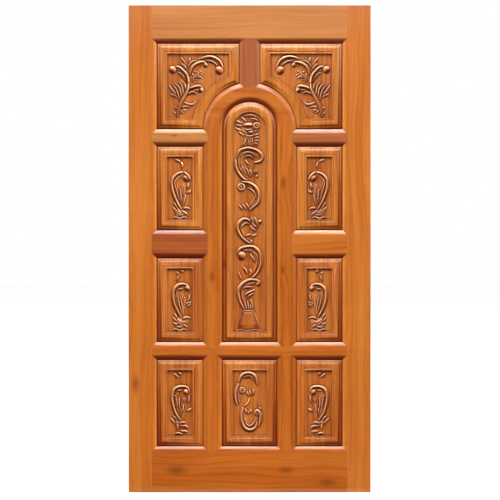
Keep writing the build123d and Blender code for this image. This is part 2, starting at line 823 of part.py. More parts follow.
def right_spandrel_panel():
    place = Pos(spandrel_middle, 0, springing + spandrel_height / 2)
    panel = place * panel_block(spandrel_width, spandrel_height)
    edge = panel_points(arch_outer_radius, 1)
    panel = panel - arch_core([(edge[0][0], -cut_y)] + edge)
    x0 = spandrel_middle - spandrel_width / 2 + border_width
    ground = rectangle(x0, column_outer - border_width, springing + border_width, spandrel_top - border_width)
    ground = ground - disc(arch_outer_radius + border_width)
    return sunk(panel, ground, carving(spandrel_design), spandrel_middle, springing)


def right_upper_panel():
    work = carving(upper_design, -1)
    return rectangular_panel(column_middle, upper_bottom, column_opening_width, upper_opening_height, work)


def right_middle_panel():
    work = carving(middle_design, -1)
    return rectangular_panel(column_middle, middle_bottom, column_opening_width, middle_opening_height, work)


def right_lower_panel():
    work = carving(lower_design, -1)
    return rectangular_panel(column_middle, lower_bottom, column_opening_width, lower_opening_height, work)


def bottom_centre_panel():
    work = carving(centre_design)
    return rectangular_panel(0, lower_bottom, 2 * arch_radius, lower_opening_height, work)


def arch_panel():
    across = half_section(panel_points(arch_radius, -1))
    upward = half_section(panel_points(arch_drop, -1))
    panel = arched(across, upward, 2 * (arch_radius + groove_depth), arch_drop + groove_depth)
    half = arch_radius - border_width
    ground = rectangle(-half, half, middle_bottom + border_width, springing) + disc(half)
    work = carving(arch_design)
    work += [bellied(vase_middle, vase_sections), bellied(stem_middle, stem_sections)]
    return sunk(Pos(0, 0, springing) * panel, ground, work, 0, middle_bottom)


# Pieces: those on the right have a mirror image on the left
def group(*solids):
    return Compound(children=list(solids))


def main_pegs(name):
    right = [peg(z) for z in peg_levels(name)]
    return group(*right, *[other_side(pin) for pin in right])


def main_wedges(name):
    right = wedges(main_tenons[name])
    return group(*right, *[other_side(piece) for piece in right])


def arch_head_dowels():
    right = dowels()
    return group(*right, *[other_side(pin) for pin in right])


pieces = {
    "top_rail": top_rail(),
    "lower_rail": lower_rail(),
    "bottom_rail": bottom_rail(),
    "arch_head": arch_head(),
    "crown_mullion": crown_mullion(),
    "arch_panel": arch_panel(),
    "bottom_centre_panel": bottom_centre_panel(),
    "arch_head_dowels": arch_head_dowels(),
}
right_pieces = {
    "stile": right_stile(),
    "upper_cross_rail": right_cross_rail("upper"),
    "middle_cross_rail": right_cross_rail("middle"),
    "muntin": right_muntin(),
    "bottom_muntin": right_low_muntin(),
    "spandrel_panel": right_spandrel_panel(),
    "upper_panel": right_upper_panel(),
    "middle_panel": right_middle_panel(),
    "lower_panel": right_lower_panel(),
}
for name in ("top", "lower", "bottom"):
    pieces[name + "_rail_pegs"] = main_pegs(name)
    pieces[name + "_rail_wedges"] = main_wedges(name)
for name, piece in right_pieces.items():
    pieces["right_" + name] = piece
    pieces["left_" + name] = other_side(piece)

os.makedirs("parts", exist_ok=True)
for name, piece in pieces.items():
    export_step(piece, "parts/" + name + ".step")
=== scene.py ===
from math import radians

import bpy
import numpy as np
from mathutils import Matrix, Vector


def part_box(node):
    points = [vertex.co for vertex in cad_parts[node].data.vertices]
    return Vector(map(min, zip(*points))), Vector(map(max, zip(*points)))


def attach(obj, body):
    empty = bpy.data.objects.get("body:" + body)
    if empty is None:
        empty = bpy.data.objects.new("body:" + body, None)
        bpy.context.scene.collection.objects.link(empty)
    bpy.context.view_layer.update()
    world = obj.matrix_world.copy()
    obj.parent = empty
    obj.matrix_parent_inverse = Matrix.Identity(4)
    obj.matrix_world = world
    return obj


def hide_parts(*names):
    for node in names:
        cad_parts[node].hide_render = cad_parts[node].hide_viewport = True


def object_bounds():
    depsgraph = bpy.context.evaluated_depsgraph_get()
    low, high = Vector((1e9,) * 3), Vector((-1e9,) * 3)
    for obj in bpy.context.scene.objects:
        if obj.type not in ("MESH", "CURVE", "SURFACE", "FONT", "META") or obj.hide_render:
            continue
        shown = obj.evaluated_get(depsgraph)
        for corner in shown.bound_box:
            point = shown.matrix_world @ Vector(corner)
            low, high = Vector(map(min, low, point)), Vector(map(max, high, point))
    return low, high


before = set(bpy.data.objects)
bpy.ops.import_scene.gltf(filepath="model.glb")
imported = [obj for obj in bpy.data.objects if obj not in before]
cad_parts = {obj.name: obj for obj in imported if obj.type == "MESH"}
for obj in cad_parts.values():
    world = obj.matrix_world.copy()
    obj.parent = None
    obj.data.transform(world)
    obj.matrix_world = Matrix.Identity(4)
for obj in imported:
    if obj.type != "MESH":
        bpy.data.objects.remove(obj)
cad_low, cad_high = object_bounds()

# Lengths below are in millimetres, and METRE turns them into the scene's unit
METRE = 0.001

# Panel section, by distance inside the sight line and height above the panel's middle
TONGUE_REACH = 11.0
TONGUE_HALF = 5.0
QUIRK_WIDTH = 2.5
STEP_WIDTH = 2.0
BORDER_CUT = [(41.0, 17.5), (39.5, 16.4), (38.5, 16.4), (37.0, 17.5)]
BORDER_WIDTH = 47.0
GROUND_LEVEL = 9.5
POCKET_LEVEL = 8.5

# Ovolos: width, then level at the foot and at the crest, and the share of the chord that they stand out by
LOWER_OVOLO = (8.5, 9.0, 12.6)
UPPER_OVOLO = (15.0, 13.8, 17.5)
OVOLO_BULGE = 0.07
OVOLO_STEPS = 8

# Edges that turn by more than these angles, in degrees, are rounded off or creased
ARRIS_ROUND = 0.6
ARRIS_STEPS = 2
ARRIS_ANGLE = 40.0
BOARD_CREASE = 30.0
CARVING_CREASE = 60.0

# Frame sizes that the panels' outlines need
ARCH_SPRINGING = 1592.0
ARCH_RADIUS = 122.0
ARCH_OUTER = 204.0
ARC_STEPS = 96

# Carved ground: how far it runs in under the border, its under side, and the spacing of its grid
TUCK = 1.5
PLATE_FOOT = 6.0
GRID_PITCH = 1.3

# Strokes of the carving: how a curve is divided, how near its ends the taper stops, how strokes run together
SPAN_STEPS = 10
END_GAP = 0.001
BLEND = 0.8

# The cut along a stroke: its reach in half widths, the share of the ground it takes, and its depth
CUT_REACH = 1.75
CUT_DEPTH = 0.8
CUT_BELOW = 1.4

# Sections: the powers that their height falls by, a body's flutes in half its width, and a leaf's vein
BODY_POWER = 4
RIM_POWER = 0.8
LEAF_POWERS = (1.6, 0.7)
PETAL_POWERS = (1.8, 0.8)
BELLY_POWERS = (3, 0.6)
FLUTES = 1.5
FLUTE_DEPTH = 0.5
VEIN_DEPTH = 0.3
VEIN_WIDTH = 0.2

# The round end of a scroll, in shares of its radius: the reach of its cut, and its bead, button or dome
EYE_CUT = 1.35
BEAD_PLACE = 0.72
BEAD_HALF = 0.3
BUTTON_HALF = 0.46
DOME_SHARE = 0.8

# Heights of a round end, and the height above which relief isn't cut away round a dome
BEAD_RISE = 8.5
BUTTON_RISE = 7.6
BOWL_RISE = 4.5
DOME_RISE = 10.5
KEPT_RISE = 4.0

# Bellied forms of the arch panel, by their middle and sections of level, half width and rise
VASE = (-4.0, [(46, 42, 4), (58, 47, 7), (78, 46, 9), (104, 38, 8.5), (130, 29, 7), (146, 26, 6)])
FLARED_STEM = (-2.0, [(848, 42, 4), (862, 32, 5), (878, 22, 6), (896, 15, 6.5), (906, 13, 6)])

# The ground as the gouge left it: trains of waves by slant, length and phase
TOOL_WAVES = [(0.4, 9.0, 0.0), (1.3, 13.0, 2.0), (2.5, 7.0, 4.0)]
TOOL_DEPTH = 0.25

# Grid steps aside, below and above a point that its hollow is measured against
HOLLOW_ASIDE = 3
HOLLOW_BELOW = 2
HOLLOW_ABOVE = 7

# Teak: width, length and detail of each size of its figure, and the range of noise over which each shows
WANDER_GRAIN = (110.0, 700.0, 2.0)
BAND_GRAIN = (48.0, 900.0, 3.0)
STREAK_GRAIN = (11.0, 330.0, 3.0)
FINE_GRAIN = (3.5, 150.0, 3.0)
BAND_SHOWS = {"From Min": 0.36, "From Max": 0.64}
STREAK_SHOWS = {"From Min": 0.42, "From Max": 0.72}
FINE_SHOWS = {"From Min": 0.46, "From Max": 0.72}

# Real pores are about 0.3 mm wide, which is too fine to show, so they are drawn coarser
PORE_GRAIN = (1.1, 28.0, 1.0)
PORE_SHOWS = {"From Min": 0.60, "From Max": 0.74, "To Max": 0.25}

# How far the grain wanders, its growth rings, and how strongly the lines show
WANDER = 90.0
RING_SPACING = 24.0
RING_DRAWN = 0.05
RING_WAVER = {"Distortion": 6.0, "Detail": 3.0, "Detail Scale": 0.7}
RING_EDGE = 3.0
RING_TINT = 0.5
STREAK_TINT = 0.35
FINE_TINT = 0.3

# The metres after which a Wave Texture's bands repeat at a scale of 1
WAVE_PERIOD = 0.314

# Knots: their shape along and through a board, how far and how much they push the grain, and their tint
KNOT_STRETCH = 0.45
KNOT_DEEP = 0.2
KNOT_PUSH = 3.5
KNOT_SHIFT = 14.0
KNOT_TINT = 0.6

# Finish: painted shade where the carving is hollow or a place is shut in, and crests rubbed paler and
# painted lit on their upper sides
CUT_SHADE = {"From Min": 0.4, "From Max": 2.6, "To Max": 0.92}
CREST_WEAR_AND_HIGHLIGHT = {"From Min": 0.3, "From Max": 3.4, "To Max": 0.84}
CREVICE_REACH = 14.0
CREVICE_RAYS = 8
CREVICE_OPEN = {"From Min": 0.3, "From Max": 0.94}
CREVICE_TINT = 0.85

# Varnish: painted shade by how far a face leans, on faces to the front and back, dulled where shade is
# painted, and in slow waves
SLOPE_SHADE_RANGE = {"From Min": -0.06, "From Max": -0.25, "To Max": 0.8}
FACES_FRONT = {"From Min": 0.3, "From Max": 0.7}
PANEL_SIDE_SHADE = -1.0
FILM_DULLED = 0.85
FILM_WAVE = 1.2
FILM_WAVE_SIZE = 30.0
FILM_DEPTH = 0.1
FILM_STRENGTH = 0.35
VARNISH = {
    "Roughness": 0.5, "IOR": 1.5, "Specular IOR Level": 0.15, "Coat Roughness": 0.16, "Coat IOR": 1.65,
}

# Tones of pores, knots, painted shade, painted shade on slopes that face away, and crests worn paler and
# painted lit
PORE_BROWN = "#8A4A20"
KNOT_BROWN = "#6B3216"
PAINTED_SHADE_BROWN = "#4A180A"
SLOPE_SHADE_RED = "#7A1C0A"
WORN_AND_LIT_PALE = "#FFCC98"

# Tones of the boards: light, body and streak
HONEY = ("#DE8C3C", "#D27A28", "#A8581E")
DEEP_HONEY = ("#D47E2E", "#C66C22", "#9C4A16")
PALE = ("#D6904C", "#C98340", "#A9642A")
RED_BROWN = ("#C66E38", "#B65E2E", "#823616")
RED_ROSE = ("#B86A3E", "#AC5E36", "#8C4526")
ROSE = ("#C67A46", "#B96C38", "#904C26")
PANEL = ("#DC893C", "#CA732A", "#9C4A18")
# Lighter tones for a raised border than for the sunk ground of the same board: painted light
LIT_BORDER_GOLDEN = ("#E69740", "#D37F2C", "#A45219")
PEG = ("#C4763A", "#B4672E", "#8A4820")

# Stage: floor, room and flags
FLOOR_HALF = 40000.0
FLOOR_PAINT = "#D9D6D2"
FLOOR_MATT = 0.6
FLOOR_LIFT = 0.93
BOUNCE_TONE = "#9A6444"
ROOM_LIGHT = 0.06
ROOM_TONE = "#FFCDA6"
FLAG_BLACK = "#141210"
FLAG_NEAR = 60.0
FLAG_DISTANCE = 6200.0
FLAG_WIDTH = 26000.0
FLAG_HEIGHT = 3000.0
FLAG_LIFT = 6.0

# Lamps by place, aim, width, height, power and spread, in metres, watts and degrees
OPEN_FACE = 180.0
GRIDDED = 5.0
LAMPS = {
    "ceiling": ((0.0, -5.6, 13.5), (0.0, 0.0, 0.9), 8.0, 5.0, 700.0, OPEN_FACE),
    "window": ((0.0, -8.0, 9.4), (0.0, 0.0, 0.9), 8.0, 8.0, 850.0, OPEN_FACE),
    "left_strip": ((-4.2, -2.6, 5.6), (0.42, 0.0, 1.07), 0.4, 2.2, 3.0, GRIDDED),
    "right_strip": ((4.2, -2.6, 5.6), (-0.42, 0.0, 1.07), 0.4, 2.2, 3.0, GRIDDED),
}

# Camera: the photograph's width and scale, and where the leaf's middle lies in it, in pixels
SENSOR_WIDTH = 36.0
CAMERA_DISTANCE = 7000.0
PIXEL = 4.38
PHOTO_WIDTH = 500
LEAF_CENTRE = (249.6, 249.05)

# Designs: points are across from the panel's middle and up from the foot of its opening
ARCH_DESIGN = {
    "bodies": [
        [(-58, 966), (-40, 960), (-18, 956)],
        [(-52, 936), (-36, 924), (-18, 914)],
        [(38, 974), (22, 982), (2, 986)],
        [(36, 815), (6, 836), (-28, 825), (-44, 790), (-30, 745), (-6, 712)],
        [(-24, 695), (6, 686), (28, 655), (26, 624), (4, 590)],
        [(2, 526), (-24, 530), (-42, 504), (-32, 472), (0, 440)],
        [(-30, 404), (8, 406), (35, 380), (36, 340), (22, 305), (8, 284)],
        [(34, 260), (4, 262), (-30, 240), (-40, 212), (-30, 176), (-18, 150)],
    ],
    "rims": [
        [(-57, 811), (-44, 840), (-10, 852), (25, 845), (50, 827), (56, 807), (45, 794), (22, 789)],
        [(-61, 800), (-61, 774), (-50, 745), (-30, 721), (-6, 708)],
        [(-52, 688), (-37, 701), (-10, 701), (20, 687), (41, 655), (40, 618), (22, 598), (-1, 580)],
        [(5, 524), (-8, 539), (-30, 540), (-48, 524), (-54, 500), (-42, 471), (-20, 448), (6, 432)],
        [(-53, 388), (-43, 410), (-12, 420), (22, 417), (46, 388), (50, 345), (34, 306), (6, 278)],
        [(46, 256), (43, 266), (28, 273), (4, 275), (-19, 267), (-39, 250), (-51, 228), (-47, 196),
         (-39, 172), (-22, 144)],
    ],
    "ridges": [
        [(-24, 991), (-8, 996), (8, 997), (22, 991), (34, 981)],
        [(2, 979), (18, 980), (32, 974), (42, 964)],
        [(-24, 936), (-8, 932), (12, 934)],
        [(-22, 913), (-8, 905), (8, 905), (23, 914)],
        [(-40, 811), (-33, 825), (-11, 834), (14, 829), (32, 810)],
        [(-24, 804), (-14, 817), (4, 817), (16, 803)],
        [(-11, 679), (11, 668), (25, 650), (29, 628)],
        [(2, 517), (-14, 524), (-32, 513), (-39, 494)],
        [(0, 388), (16, 369), (26, 350)],
        [(10, 400), (31, 384), (38, 352)],
        [(-34, 229), (-18, 242), (12, 244)],
        [(-24, 203), (-6, 218), (26, 232)],
        [(-12, 196), (6, 210), (20, 216)],
    ],
    "leaves": [
        [(-41, 987), (-29, 981), (-15, 967)],
        [(-62, 976), (-50, 968), (-32, 959)],
        [(-62, 956), (-48, 951), (-32, 949)],
        [(-63, 940), (-50, 934), (-34, 929)],
        [(-52, 926), (-38, 916), (-22, 906)],
        [(22, 924), (32, 931), (43, 930)],
        [(22, 906), (31, 911), (41, 913)],
        [(22, 894), (33, 899), (43, 898)],
        [(20, 883), (31, 885), (41, 880)],
        [(18, 872), (27, 872), (36, 864)],
        [(-21, 802), (-14, 790), (-3, 780)],
        [(-52, 770), (-36, 757), (-26, 736)],
        [(-40, 778), (-26, 760), (-15, 731)],
        [(-22, 772), (-8, 750), (0, 724)],
        [(2, 760), (8, 742), (6, 724)],
        [(32, 626), (18, 604), (4, 590)],
        [(-48, 605), (-38, 592), (-24, 583)],
        [(-33, 608), (-22, 594), (-12, 582)],
        [(-16, 612), (-8, 598), (-4, 584)],
        [(-4, 546), (10, 528), (24, 500)],
        [(6, 552), (20, 530), (34, 496)],
        [(18, 552), (30, 532), (40, 506)],
        [(36, 500), (20, 512), (8, 530)],
        [(30, 488), (14, 498), (2, 514)],
        [(-22, 460), (-6, 471), (12, 474)],
        [(4, 464), (18, 470), (34, 472)],
        [(4, 450), (8, 442), (10, 430)],
        [(-50, 380), (-34, 390), (-14, 384)],
        [(-32, 333), (-18, 318), (-11, 300)],
        [(-48, 311), (-44, 292), (-36, 277)],
        [(2, 322), (8, 306), (2, 291)],
        [(-29, 168), (-22, 157), (-18, 146)],
        [(-12, 170), (-9, 158), (-8, 146)],
        [(2, 165), (2, 155), (1, 146)],
        [(16, 162), (14, 153), (11, 146)],
    ],
    "petals": [
        [(-30, 951), (-6, 953), (20, 951)],
        [(-8, 918), (4, 921), (16, 922)],
    ],
    "eyes": [
        ((31, 950), 16), ((27, 752), 9), ((-37, 681), 18),
    ],
    "bulbs": [((32, 729), 7), ((46, 530), 9), ((-35, 380), 18), ((38, 257), 10)],
    "stems": [
        [(-12, 140), (-17, 160), (-25, 184)],
        [(-5, 140), (-6, 160), (-10, 182)],
        [(3, 140), (6, 158), (8, 178)],
        [(12, 140), (12, 165), (5, 192)],
        [(-15, 902), (-20, 880), (-36, 860)],
        [(11, 902), (12, 882), (22, 862)],
        [(-3, 896), (-5, 880), (-12, 864)],
        [(20, 134), (29, 108), (38, 78)],
        [(-34, 142), (-9, 138), (19, 142)],
        [(-60, 50), (-36, 56), (-8, 50), (18, 56), (52, 50)],
    ],
    "bellies": [VASE, FLARED_STEM],
}
SPANDREL_DESIGN = {
    "bodies": [
        [(100, 268), (78, 260), (58, 238), (46, 206)],
        [(40, 240), (28, 266), (4, 284), (-24, 289)],
        [(-18, 302), (-50, 308), (-82, 296), (-100, 274)],
        [(54, 156), (34, 170), (8, 178), (-10, 176)],
        [(70, 116), (80, 150), (92, 186)],
        [(24, 212), (0, 238), (-14, 250)],
        [(84, 100), (70, 88), (50, 92)],
    ],
    "rims": [
        [(100, 276), (82, 272), (66, 258), (52, 242), (44, 222), (42, 198)],
        [(37, 240), (32, 262), (20, 279), (0, 291), (-22, 296), (-33, 289)],
        [(-10, 308), (-30, 316), (-54, 319), (-78, 311), (-96, 296), (-108, 270)],
        [(50, 166), (34, 179), (12, 188), (-8, 190), (-20, 183)],
        [(42, 200), (44, 180), (55, 154), (68, 130), (80, 106), (88, 82), (92, 54)],
    ],
    "ridges": [
        [(92, 252), (72, 242), (58, 222)],
        [(47, 268), (36, 288), (22, 299), (5, 300)],
        [(-36, 301), (-58, 299), (-76, 288), (-86, 275)],
        [(52, 146), (38, 159), (20, 164), (4, 155)],
        [(84, 128), (87, 150), (95, 174), (110, 197)],
        [(74, 136), (76, 162), (85, 187), (106, 204)],
        [(67, 142), (67, 170), (74, 196), (84, 208)],
        [(60, 150), (54, 174), (58, 198), (64, 206)],
    ],
    "leaves": [
        [(75, 289), (62, 280), (50, 264)],
        [(40, 316), (37, 304), (42, 291)],
        [(76, 316), (66, 303), (56, 286)],
        [(92, 140), (107, 151), (124, 150)],
        [(94, 153), (112, 170), (129, 196)],
        [(68, 124), (46, 112), (22, 110), (10, 128)],
        [(72, 92), (56, 100), (33, 97)],
        [(106, 100), (84, 86), (60, 69)],
        [(108, 78), (92, 66), (74, 72)],
        [(16, 222), (-4, 232), (-20, 222)],
    ],
    "bulbs": [
        ((112, 262), 16), ((-32, 283), 10), ((-92, 259), 18), ((-14, 173), 11), ((12, 252), 6),
        ((-12, 254), 6), ((24, 240), 6), ((1, 240), 6), ((13, 208), 5), ((-18, 238), 5),
    ],
}
UPPER_DESIGN = {
    "bodies": [
        [(24, 232), (0, 238), (-18, 216), (-14, 172), (-4, 134), (5, 100)],
        [(14, 200), (12, 160), (8, 120)],
        [(-22, 96), (-6, 76), (14, 70), (30, 64)],
    ],
    "rims": [
        [(19, 256), (-5, 251), (-24, 237), (-36, 212), (-33, 178), (-21, 143), (-8, 116), (6, 95)],
        [(18, 256), (31, 245), (41, 231), (46, 221)],
    ],
    "ridges": [
        [(8, 239), (-6, 234), (-17, 222), (-23, 205), (-14, 174), (-8, 150), (2, 126)],
        [(0, 186), (4, 162), (6, 140), (5, 116)],
        [(17, 150), (13, 130), (7, 106)],
        [(25, 160), (20, 136), (13, 110)],
    ],
    "stems": [[(-34, 53), (-17, 58), (0, 52), (17, 58), (34, 53)]],
    "leaves": [
        [(39, 208), (35, 194), (29, 182)],
        [(50, 178), (40, 168), (28, 166)],
        [(-32, 102), (-23, 93), (-11, 80)],
        [(-30, 124), (-21, 114), (-12, 96)],
        [(6, 88), (20, 79), (36, 68)],
        [(14, 94), (30, 99), (46, 93)],
        [(4, 60), (22, 57), (38, 52)],
        [(-25, 311), (-9, 307), (3, 299)],
        [(3, 300), (10, 289), (8, 271)],
    ],
    "bulbs": [
        ((27, 229), 14), ((-16, 186), 4), ((-4, 182), 4), ((6, 189), 4), ((15, 177), 4), ((25, 164), 4),
        ((-10, 170), 4), ((0, 171), 4), ((-13, 66), 5), ((-4, 64), 4),
    ],
}
MIDDLE_DESIGN = {
    "bodies": [
        [(26, 240), (0, 242), (-18, 220), (-18, 176), (-8, 140), (4, 114)],
        [(14, 206), (12, 166), (7, 128)],
        [(-22, 104), (-4, 90), (14, 84), (36, 100)],
    ],
    "rims": [
        [(36, 250), (14, 256), (-8, 251), (-25, 234), (-30, 205), (-25, 172), (-12, 142), (5, 112)],
    ],
    "ridges": [
        [(14, 236), (2, 235), (-10, 227)],
        [(-21, 213), (-18, 182), (-10, 151), (-1, 123)],
        [(-10, 205), (-4, 170), (4, 143), (10, 116)],
        [(2, 202), (8, 170), (13, 143), (14, 120)],
    ],
    "stems": [[(42, 212), (41, 196), (33, 178)], [(-34, 53), (-17, 58), (0, 52), (17, 58), (34, 53)]],
    "leaves": [
        [(23, 172), (36, 171), (50, 179)],
        [(27, 160), (38, 162), (49, 171)],
        [(-27, 130), (-18, 117), (-13, 103)],
        [(-30, 112), (-24, 103), (-14, 92)],
        [(10, 98), (28, 110), (50, 105)],
        [(10, 78), (22, 74), (34, 68)],
        [(-22, 72), (-4, 68), (14, 72)],
        [(-30, 88), (-20, 82), (-8, 80)],
        [(-17, 311), (-8, 302), (3, 290)],
        [(-6, 300), (-8, 284), (-16, 268)],
        [(4, 317), (10, 313), (16, 308)],
    ],
    "bulbs": [((32, 238), 12), ((18, 153), 5), ((18, 196), 5)],
}
LOWER_DESIGN = {
    "bodies": [
        [(28, 248), (2, 252), (-20, 228), (-22, 184), (-12, 146), (2, 118)],
        [(14, 212), (12, 168), (6, 130)],
        [(-24, 106), (-8, 98), (12, 96), (30, 90)],
    ],
    "rims": [
        [(41, 242), (34, 258), (16, 264), (-6, 262), (-26, 249), (-35, 220), (-31, 184), (-19, 148),
         (3, 116)],
    ],
    "ridges": [
        [(10, 249), (-4, 247), (-16, 240)],
        [(-30, 234), (-18, 217), (-13, 192), (-10, 168)],
        [(2, 172), (5, 156), (4, 138)],
        [(-2, 214), (-3, 190), (-1, 166)],
        [(16, 190), (14, 168), (10, 146)],
        [(-30, 232), (-20, 222), (-13, 217)],
    ],
    "stems": [[(40, 224), (40, 209), (34, 192)], [(-23, 55), (-8, 60), (12, 55)]],
    "leaves": [
        [(27, 156), (40, 161), (52, 169)],
        [(-43, 126), (-30, 113), (-20, 101)],
        [(-32, 135), (-22, 128), (-13, 116)],
        [(-8, 101), (10, 106), (27, 108)],
        [(5, 86), (22, 91), (40, 83)],
        [(2, 68), (22, 68), (37, 63)],
        [(-10, 102), (-10, 86), (-12, 74)],
        [(-8, 322), (0, 321), (8, 317)],
        [(-27, 322), (-16, 312), (-5, 304)],
    ],
    "eyes": [((20, 207), 7)],
    "bulbs": [((26, 240), 12), ((15, 166), 5)],
}
CENTRE_DESIGN = {
    "bodies": [
        [(-44, 286), (-28, 306), (-4, 314), (16, 304), (28, 280)],
        [(-30, 168), (-30, 124), (-14, 92), (8, 82), (28, 104), (40, 140)],
        [(-56, 250), (-56, 220), (-50, 192)],
    ],
    "rims": [
        [(-49, 274), (-46, 296), (-30, 317), (-4, 324), (20, 314), (32, 292), (36, 268)],
        [(-29, 172), (-37, 142), (-35, 112), (-21, 84), (3, 74), (26, 86), (33, 110)],
        [(20, 145), (34, 159), (47, 142), (48, 116), (41, 90)],
        [(-49, 278), (-56, 260), (-64, 240), (-63, 212), (-55, 184)],
    ],
    "ridges": [
        [(-19, 109), (-11, 96), (1, 91), (13, 99), (22, 114)],
        [(-34, 296), (-22, 306), (-4, 311), (12, 303), (22, 286)],
        [(-2, 214), (-8, 194), (-28, 172)],
        [(-50, 232), (-49, 210), (-44, 190)],
    ],
    "leaves": [
        [(-12, 242), (-8, 232), (-3, 222)],
        [(0, 247), (4, 234), (10, 222)],
        [(14, 254), (18, 240), (16, 226)],
        [(-10, 160), (-7, 150), (-4, 142)],
        [(3, 164), (5, 154), (5, 146)],
        [(41, 178), (46, 166), (50, 152)],
        [(-20, 168), (-16, 154), (-12, 144)],
    ],
    "eyes": [((-32, 248), 14), ((31, 144), 7), ((41, 187), 5), ((-44, 217), 5)],
}


# Carving
def curve(points):
    """A smooth curve through points: each span a cubic whose slope at a point is half the step past it."""
    p = np.array(points, float)
    p = np.vstack([2 * p[0] - p[1], p, 2 * p[-1] - p[-2]])
    t = np.linspace(0, 1, SPAN_STEPS, endpoint=False)[:, None]
    spans = []
    for a, b, c, d in zip(p, p[1:], p[2:], p[3:]):
        bend = t ** 2 * (a - 2.5 * b + 2 * c - d / 2)
        turn = t ** 3 * (1.5 * (b - c) + (d - a) / 2)
        spans.append(b + t * (c - a) / 2 + bend + turn)
    return np.vstack(spans + [p[-2:-1]])


def nearest(x, z, path):
    """For each point, its distance from a path, how far along the path that is, and the side it lies on."""
    start = path[:-1]
    step = path[1:] - start
    length = np.hypot(step[:, 0], step[:, 1])
    gone = np.concatenate([[0], np.cumsum(length)])
    from_x = x[:, None] - start[:, 0]
    from_z = z[:, None] - start[:, 1]
    t = np.clip((from_x * step[:, 0] + from_z * step[:, 1]) / length ** 2, 0, 1)
    off_x = from_x - t * step[:, 0]
    off_z = from_z - t * step[:, 1]
    away = np.hypot(off_x, off_z)
    pick = away.argmin(axis=1)
    row = np.arange(len(x))
    share = (gone[pick] + t[row, pick] * length[pick]) / gone[-1]
    side = np.sign(step[pick, 0] * off_z[row, pick] - step[pick, 1] * off_x[row, pick])
    return away[row, pick], share, side


def blended(low, high):
    """The greater of two heights, rounded over BLEND where they meet."""
    gap = np.clip(BLEND - np.abs(low - high), 0, None)
    return np.maximum(low, high) + gap ** 2 / (4 * BLEND)


# Sections: r is nothing at a stroke's centre line and one at its edge, and side is its left or right
def dome(r):
    """A rounded back: one at the middle, falling as a circle does to nothing at the edge."""
    return np.sqrt(np.clip(1 - r ** 2, 0, 1))


def tapered(r, powers):
    """One at the middle and nothing at the edge: one less a power of r, and that to a power."""
    return (1 - r ** powers[0]) ** powers[1]


def body_section(r, side):
    """A broad low back, one less a power of r, with flutes along it by a cosine."""
    return (1 - r ** BODY_POWER) * (1 - FLUTE_DEPTH * (0.5 + 0.5 * np.cos(2 * np.pi * FLUTES * r * side)))


def rim_section(r, side):
    """A rounded bead, fuller than a circle: the circle's height to a power below one."""
    return dome(r) ** RIM_POWER


def ridge_section(r, side):
    """A narrower bead, round as a circle."""
    return dome(r)


def leaf_section(r, side):
    """A leaf's two tapered slopes, with a vein cut along the middle as a bell curve."""
    return tapered(r, LEAF_POWERS) - VEIN_DEPTH * np.exp(-(r / VEIN_WIDTH) ** 2)


def petal_section(r, side):
    """A full petal, tapered to its edge."""
    return tapered(r, PETAL_POWERS)


# Strokes in the order they are cut: width, rise, share left at the tips, and section of each kind
STROKES = {
    "bodies": (30.0, 4.8, 0.35, body_section),
    "leaves": (11.5, 7.4, 0.22, leaf_section),
    "petals": (20.0, 8.5, 0.1, petal_section),
    "ridges": (8.0, 7.8, 0.3, ridge_section),
    "stems": (7.5, 8.0, 0.35, ridge_section),
    "rims": (14.0, 10.0, 0.45, rim_section),
}


def cut_stroke(height, x, z, points, width, rise, tip, section):
    """Raise one stroke out of the relief: it swells by the root of a sine from its tip's share at both ends,
    and a cut falls away evenly along its sides."""
    path = curve(points)
    reach = width / 2 * CUT_REACH
    low = path.min(axis=0) - reach
    high = path.max(axis=0) + reach
    inside = (x > low[0]) & (x < high[0]) & (z > low[1]) & (z < high[1])
    if not inside.any():
        return
    away, share, side = nearest(x[inside], z[inside], path)
    swell = tip + (1 - tip) * np.sqrt(np.sin(np.pi * np.clip(share, END_GAP, 1 - END_GAP)))
    r = away / (width / 2 * swell)
    ground = height[inside]
    if section is not body_section:
        cut = np.clip((CUT_REACH - r) / (CUT_REACH - 1), 0, 1)
        ground = ground * (1 - CUT_DEPTH * cut) - CUT_BELOW * cut * (r > 1)
    back = rise * swell * section(np.clip(r, 0, 1), side)
    height[inside] = np.where(r < 1, blended(ground, back), ground)


def cut_eye(height, x, z, middle, radius, ringed):
    """Raise the round end of a scroll: a dome that its stroke runs into, or a bowl that is cut clear all
    round, with a bead round it and a button in the middle. Dome, bead and button are round as a circle."""
    r = np.hypot(x - middle[0], z - middle[1]) / radius
    cut = np.clip((EYE_CUT - r) / (EYE_CUT - 1), 0, 1) * (ringed | (height < KEPT_RISE))
    height *= 1 - CUT_DEPTH * cut
    height -= CUT_BELOW * cut * (r > 1)
    if not ringed:
        back = min(DOME_RISE, DOME_SHARE * radius) * dome(r)
        height[:] = np.where(r < 1, blended(height, back), height)
        return
    bead = BEAD_RISE * dome(np.clip(np.abs(r - BEAD_PLACE) / BEAD_HALF, 0, 1))
    button = BUTTON_RISE * dome(np.clip(r / BUTTON_HALF, 0, 1))
    back = np.maximum(np.maximum(bead, button), BOWL_RISE)
    height[:] = np.where(r < 1, back, height)


def cut_belly(height, x, z, middle, sections):
    """Raise a bellied form: its half width and rise run straight from section to section, and across it the
    height is tapered."""
    level, half, rise = np.array(sections).T
    inside = (z > level[0]) & (z < level[-1])
    r = np.abs(x - middle) / np.interp(z, level, half)
    back = np.interp(z, level, rise) * tapered(np.clip(r, 0, 1), BELLY_POWERS)
    height[:] = np.where(inside & (r < 1), blended(height, back), height)


def tooled(x, z):
    """The ground as the gouge left it: three trains of shallow waves that cross at slants."""
    waves = np.zeros_like(x)
    for slant, length, phase in TOOL_WAVES:
        waves += np.sin(2 * np.pi * (x * np.cos(slant) + z * np.sin(slant)) / length + phase)
    return TOOL_DEPTH * waves / len(TOOL_WAVES)


